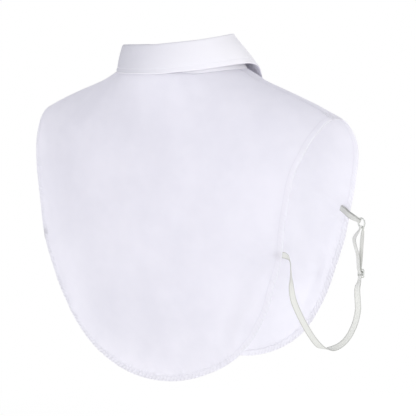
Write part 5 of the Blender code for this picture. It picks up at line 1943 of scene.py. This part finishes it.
class COLLAR_OT_panels(bpy.types.Operator):
    """Make the back and both fronts"""

    bl_idname = "collar.panels"
    bl_label = "Panels"

    def execute(self, context):
        """Makes each panel and its stitches."""
        cuts = (("back", "back_panel", BACK, 1.0, back_cut()),
                ("right_front", "front_right", FRONT, 1.0, front_cut(1.0)),
                ("left_front", "front_left", FRONT, -1.0, front_cut(-1.0)))
        for name, node, side, sign, cut in cuts:
            piece, area = make_panel(name, side, sign, cut)
            finish_piece(piece, cotton_finish(), "cotton", node)
            lines = panel_stitch_lines(side, sign, cut)
            sewn = stitch(f"{name}_stitches", lines, 1 + len(name), **stitch_sizes())
            finish_piece(sewn, thread_finish(), "cotton")
        return {"FINISHED"}


class COLLAR_OT_collar(bpy.types.Operator):
    """Make the collar's stand and its fall"""

    bl_idname = "collar.collar"
    bl_label = "Collar"

    def execute(self, context):
        """Makes both bands with their edge stitching."""
        angles = np.linspace(-STAND_END, STAND_END, STAND_COLUMNS)
        piece, facts, area = band("stand", [stand_line(a) for a in angles], COLLAR_CLOTH, 0.0006)
        finish_piece(piece, cotton_finish("collar_shirting_painted_light", crisp=True), "cotton", "collar_stand")
        angles = np.linspace(-COLLAR_END, COLLAR_END, FALL_COLUMNS)
        piece, facts, area = band("fall", [fall_line(a) for a in angles], COLLAR_CLOTH, 0.0007, fall_relief)
        finish_piece(piece, cotton_finish("collar_shirting_painted_light", crisp=True), "cotton", "collar_fall")
        places, normal, gap, run, reach = facts
        lines = edge_stitch_lines(places, normal, gap, COLLAR_STITCH, COLLAR_CLOTH * 0.5)
        sewn = stitch("fall_stitches", lines, 3, **stitch_sizes())
        finish_piece(sewn, thread_finish(), "cotton")
        return {"FINISHED"}


class COLLAR_OT_placket(bpy.types.Operator):
    """Make the placket with its edge stitching and its buttonholes"""

    bl_idname = "collar.placket"
    bl_label = "Placket"

    def execute(self, context):
        """Makes the strip that lies on the right front."""
        piece, lines, area, size = make_placket()
        finish_piece(piece, cotton_finish("collar_shirting_painted_light", crisp=True), "cotton", "placket")
        sewn = stitch("placket_stitches", lines, 4, **stitch_sizes())
        finish_piece(sewn, thread_finish(), "cotton")
        holes = stitch("buttonholes", buttonhole_lines(), 6, Pitch=0.00048, Length=0.0016, Width=0.0004,
                       Height=0.00034)
        finish_piece(holes, thread_finish(), "cotton")
        return {"FINISHED"}


class COLLAR_OT_buttons(bpy.types.Operator):
    """Make the buttons and the thread that holds them"""

    bl_idname = "collar.buttons"
    bl_label = "Buttons"

    def execute(self, context):
        """Puts one turned button at each place."""
        mesh = turned_button()
        for number, (where, out) in enumerate(button_places(), start=1):
            turn = Vector(world(out)).to_track_quat("Z", "Y").to_matrix().to_4x4()
            bm = bmesh.new()
            bm.from_mesh(mesh)
            place = Matrix.Translation(world(where)) @ turn
            piece = from_bmesh(f"shirt_button_{number}", bm, place)
            finish_piece(piece, button_finish(), "button", f"button_{number}")
            thread = from_bmesh(f"button_thread_{number}", button_thread(), place)
            finish_piece(thread, thread_finish(), "cotton")
        return {"FINISHED"}


class COLLAR_OT_stage(bpy.types.Operator):
    """Make the floor and the studio's light"""

    bl_idname = "collar.stage"
    bl_label = "Stage"

    def execute(self, context):
        """Makes a pale floor, light from all round and soft lights."""
        stage = settings().stage
        low = CAD_BOX[0][2] - stage.drop
        mesh = bpy.data.meshes.new("floor")
        corners = ((-12.0, -12.0, low), (12.0, -12.0, low), (12.0, 12.0, low), (-12.0, 12.0, low))
        mesh.from_pydata(corners, [], [(0, 1, 2, 3)])
        floor = bpy.data.objects.new("floor", mesh)
        context.scene.collection.objects.link(floor)
        mesh.materials.append(floor_finish())
        world_light = bpy.data.worlds.new("studio")
        world_light.use_nodes = True
        tree = world_light.node_tree
        sky = tree.nodes["Background"]
        sky.inputs["Color"].default_value = (0.97, 0.98, 1.0, 1.0)
        sky.inputs["Strength"].default_value = stage.sky
        seen = tree.nodes.new("ShaderNodeBackground")
        seen.inputs["Color"].default_value = (1.0, 1.0, 1.0, 1.0)
        rays = tree.nodes.new("ShaderNodeLightPath")
        mix = tree.nodes.new("ShaderNodeMixShader")
        tree.links.new(rays.outputs["Is Camera Ray"], mix.inputs[0])
        tree.links.new(sky.outputs[0], mix.inputs[1])
        tree.links.new(seen.outputs[0], mix.inputs[2])
        tree.links.new(mix.outputs[0], tree.nodes["World Output"].inputs["Surface"])
        context.scene.world = world_light
        middle = Vector((0.0, 0.0, -0.14))
        for name, place, power, width in LIGHTS:
            data = bpy.data.lights.new(name, "AREA")
            data.shape = "SQUARE"
            data.size = width
            data.energy = power * stage.key
            lamp = bpy.data.objects.new(name, data)
            lamp.location = place
            lamp.rotation_euler = (middle - Vector(place)).to_track_quat("-Z", "Y").to_euler()
            context.scene.collection.objects.link(lamp)
        context.scene.view_settings.view_transform = "Standard"
        return {"FINISHED"}


class COLLAR_PT_panel(bpy.types.Panel):
    """The collar's pieces and settings"""

    bl_idname = "COLLAR_PT_panel"
    bl_label = "Detachable Shirt Collar"
    bl_space_type = "VIEW_3D"
    bl_region_type = "UI"
    bl_category = "Collar"

    def draw(self, context):
        """Lists the operators and the settings."""
        layout = self.layout
        for operator in OPERATORS:
            layout.operator(operator.bl_idname)
        for group in ("cloth", "stitching", "strap", "button", "stage"):
            box = layout.box()
            box.label(text=group.title())
            values = getattr(context.scene.shirt_collar, group)
            for label in values.__annotations__:
                box.prop(values, label)


OPERATORS = (COLLAR_OT_camera, COLLAR_OT_straps, COLLAR_OT_panels, COLLAR_OT_collar, COLLAR_OT_placket,
             COLLAR_OT_buttons, COLLAR_OT_stage)
CLASSES = (CollarCloth, CollarStitching, CollarStrap, CollarButton, CollarStage, CollarSettings, *OPERATORS,
           COLLAR_PT_panel)


def register():
    """Adds the classes and the scene's settings."""
    for kind in CLASSES:
        bpy.utils.register_class(kind)
    bpy.types.Scene.shirt_collar = PointerProperty(type=CollarSettings)


def unregister():
    """Takes the classes and the settings away."""
    del bpy.types.Scene.shirt_collar
    for kind in reversed(CLASSES):
        bpy.utils.unregister_class(kind)


def main():
    """Makes every piece in order."""
    register()
    for operator in OPERATORS:
        group, name = operator.bl_idname.split(".")
        getattr(getattr(bpy.ops, group), name)()
    bpy.context.view_layer.update()


if __name__ == "__main__":
    main()
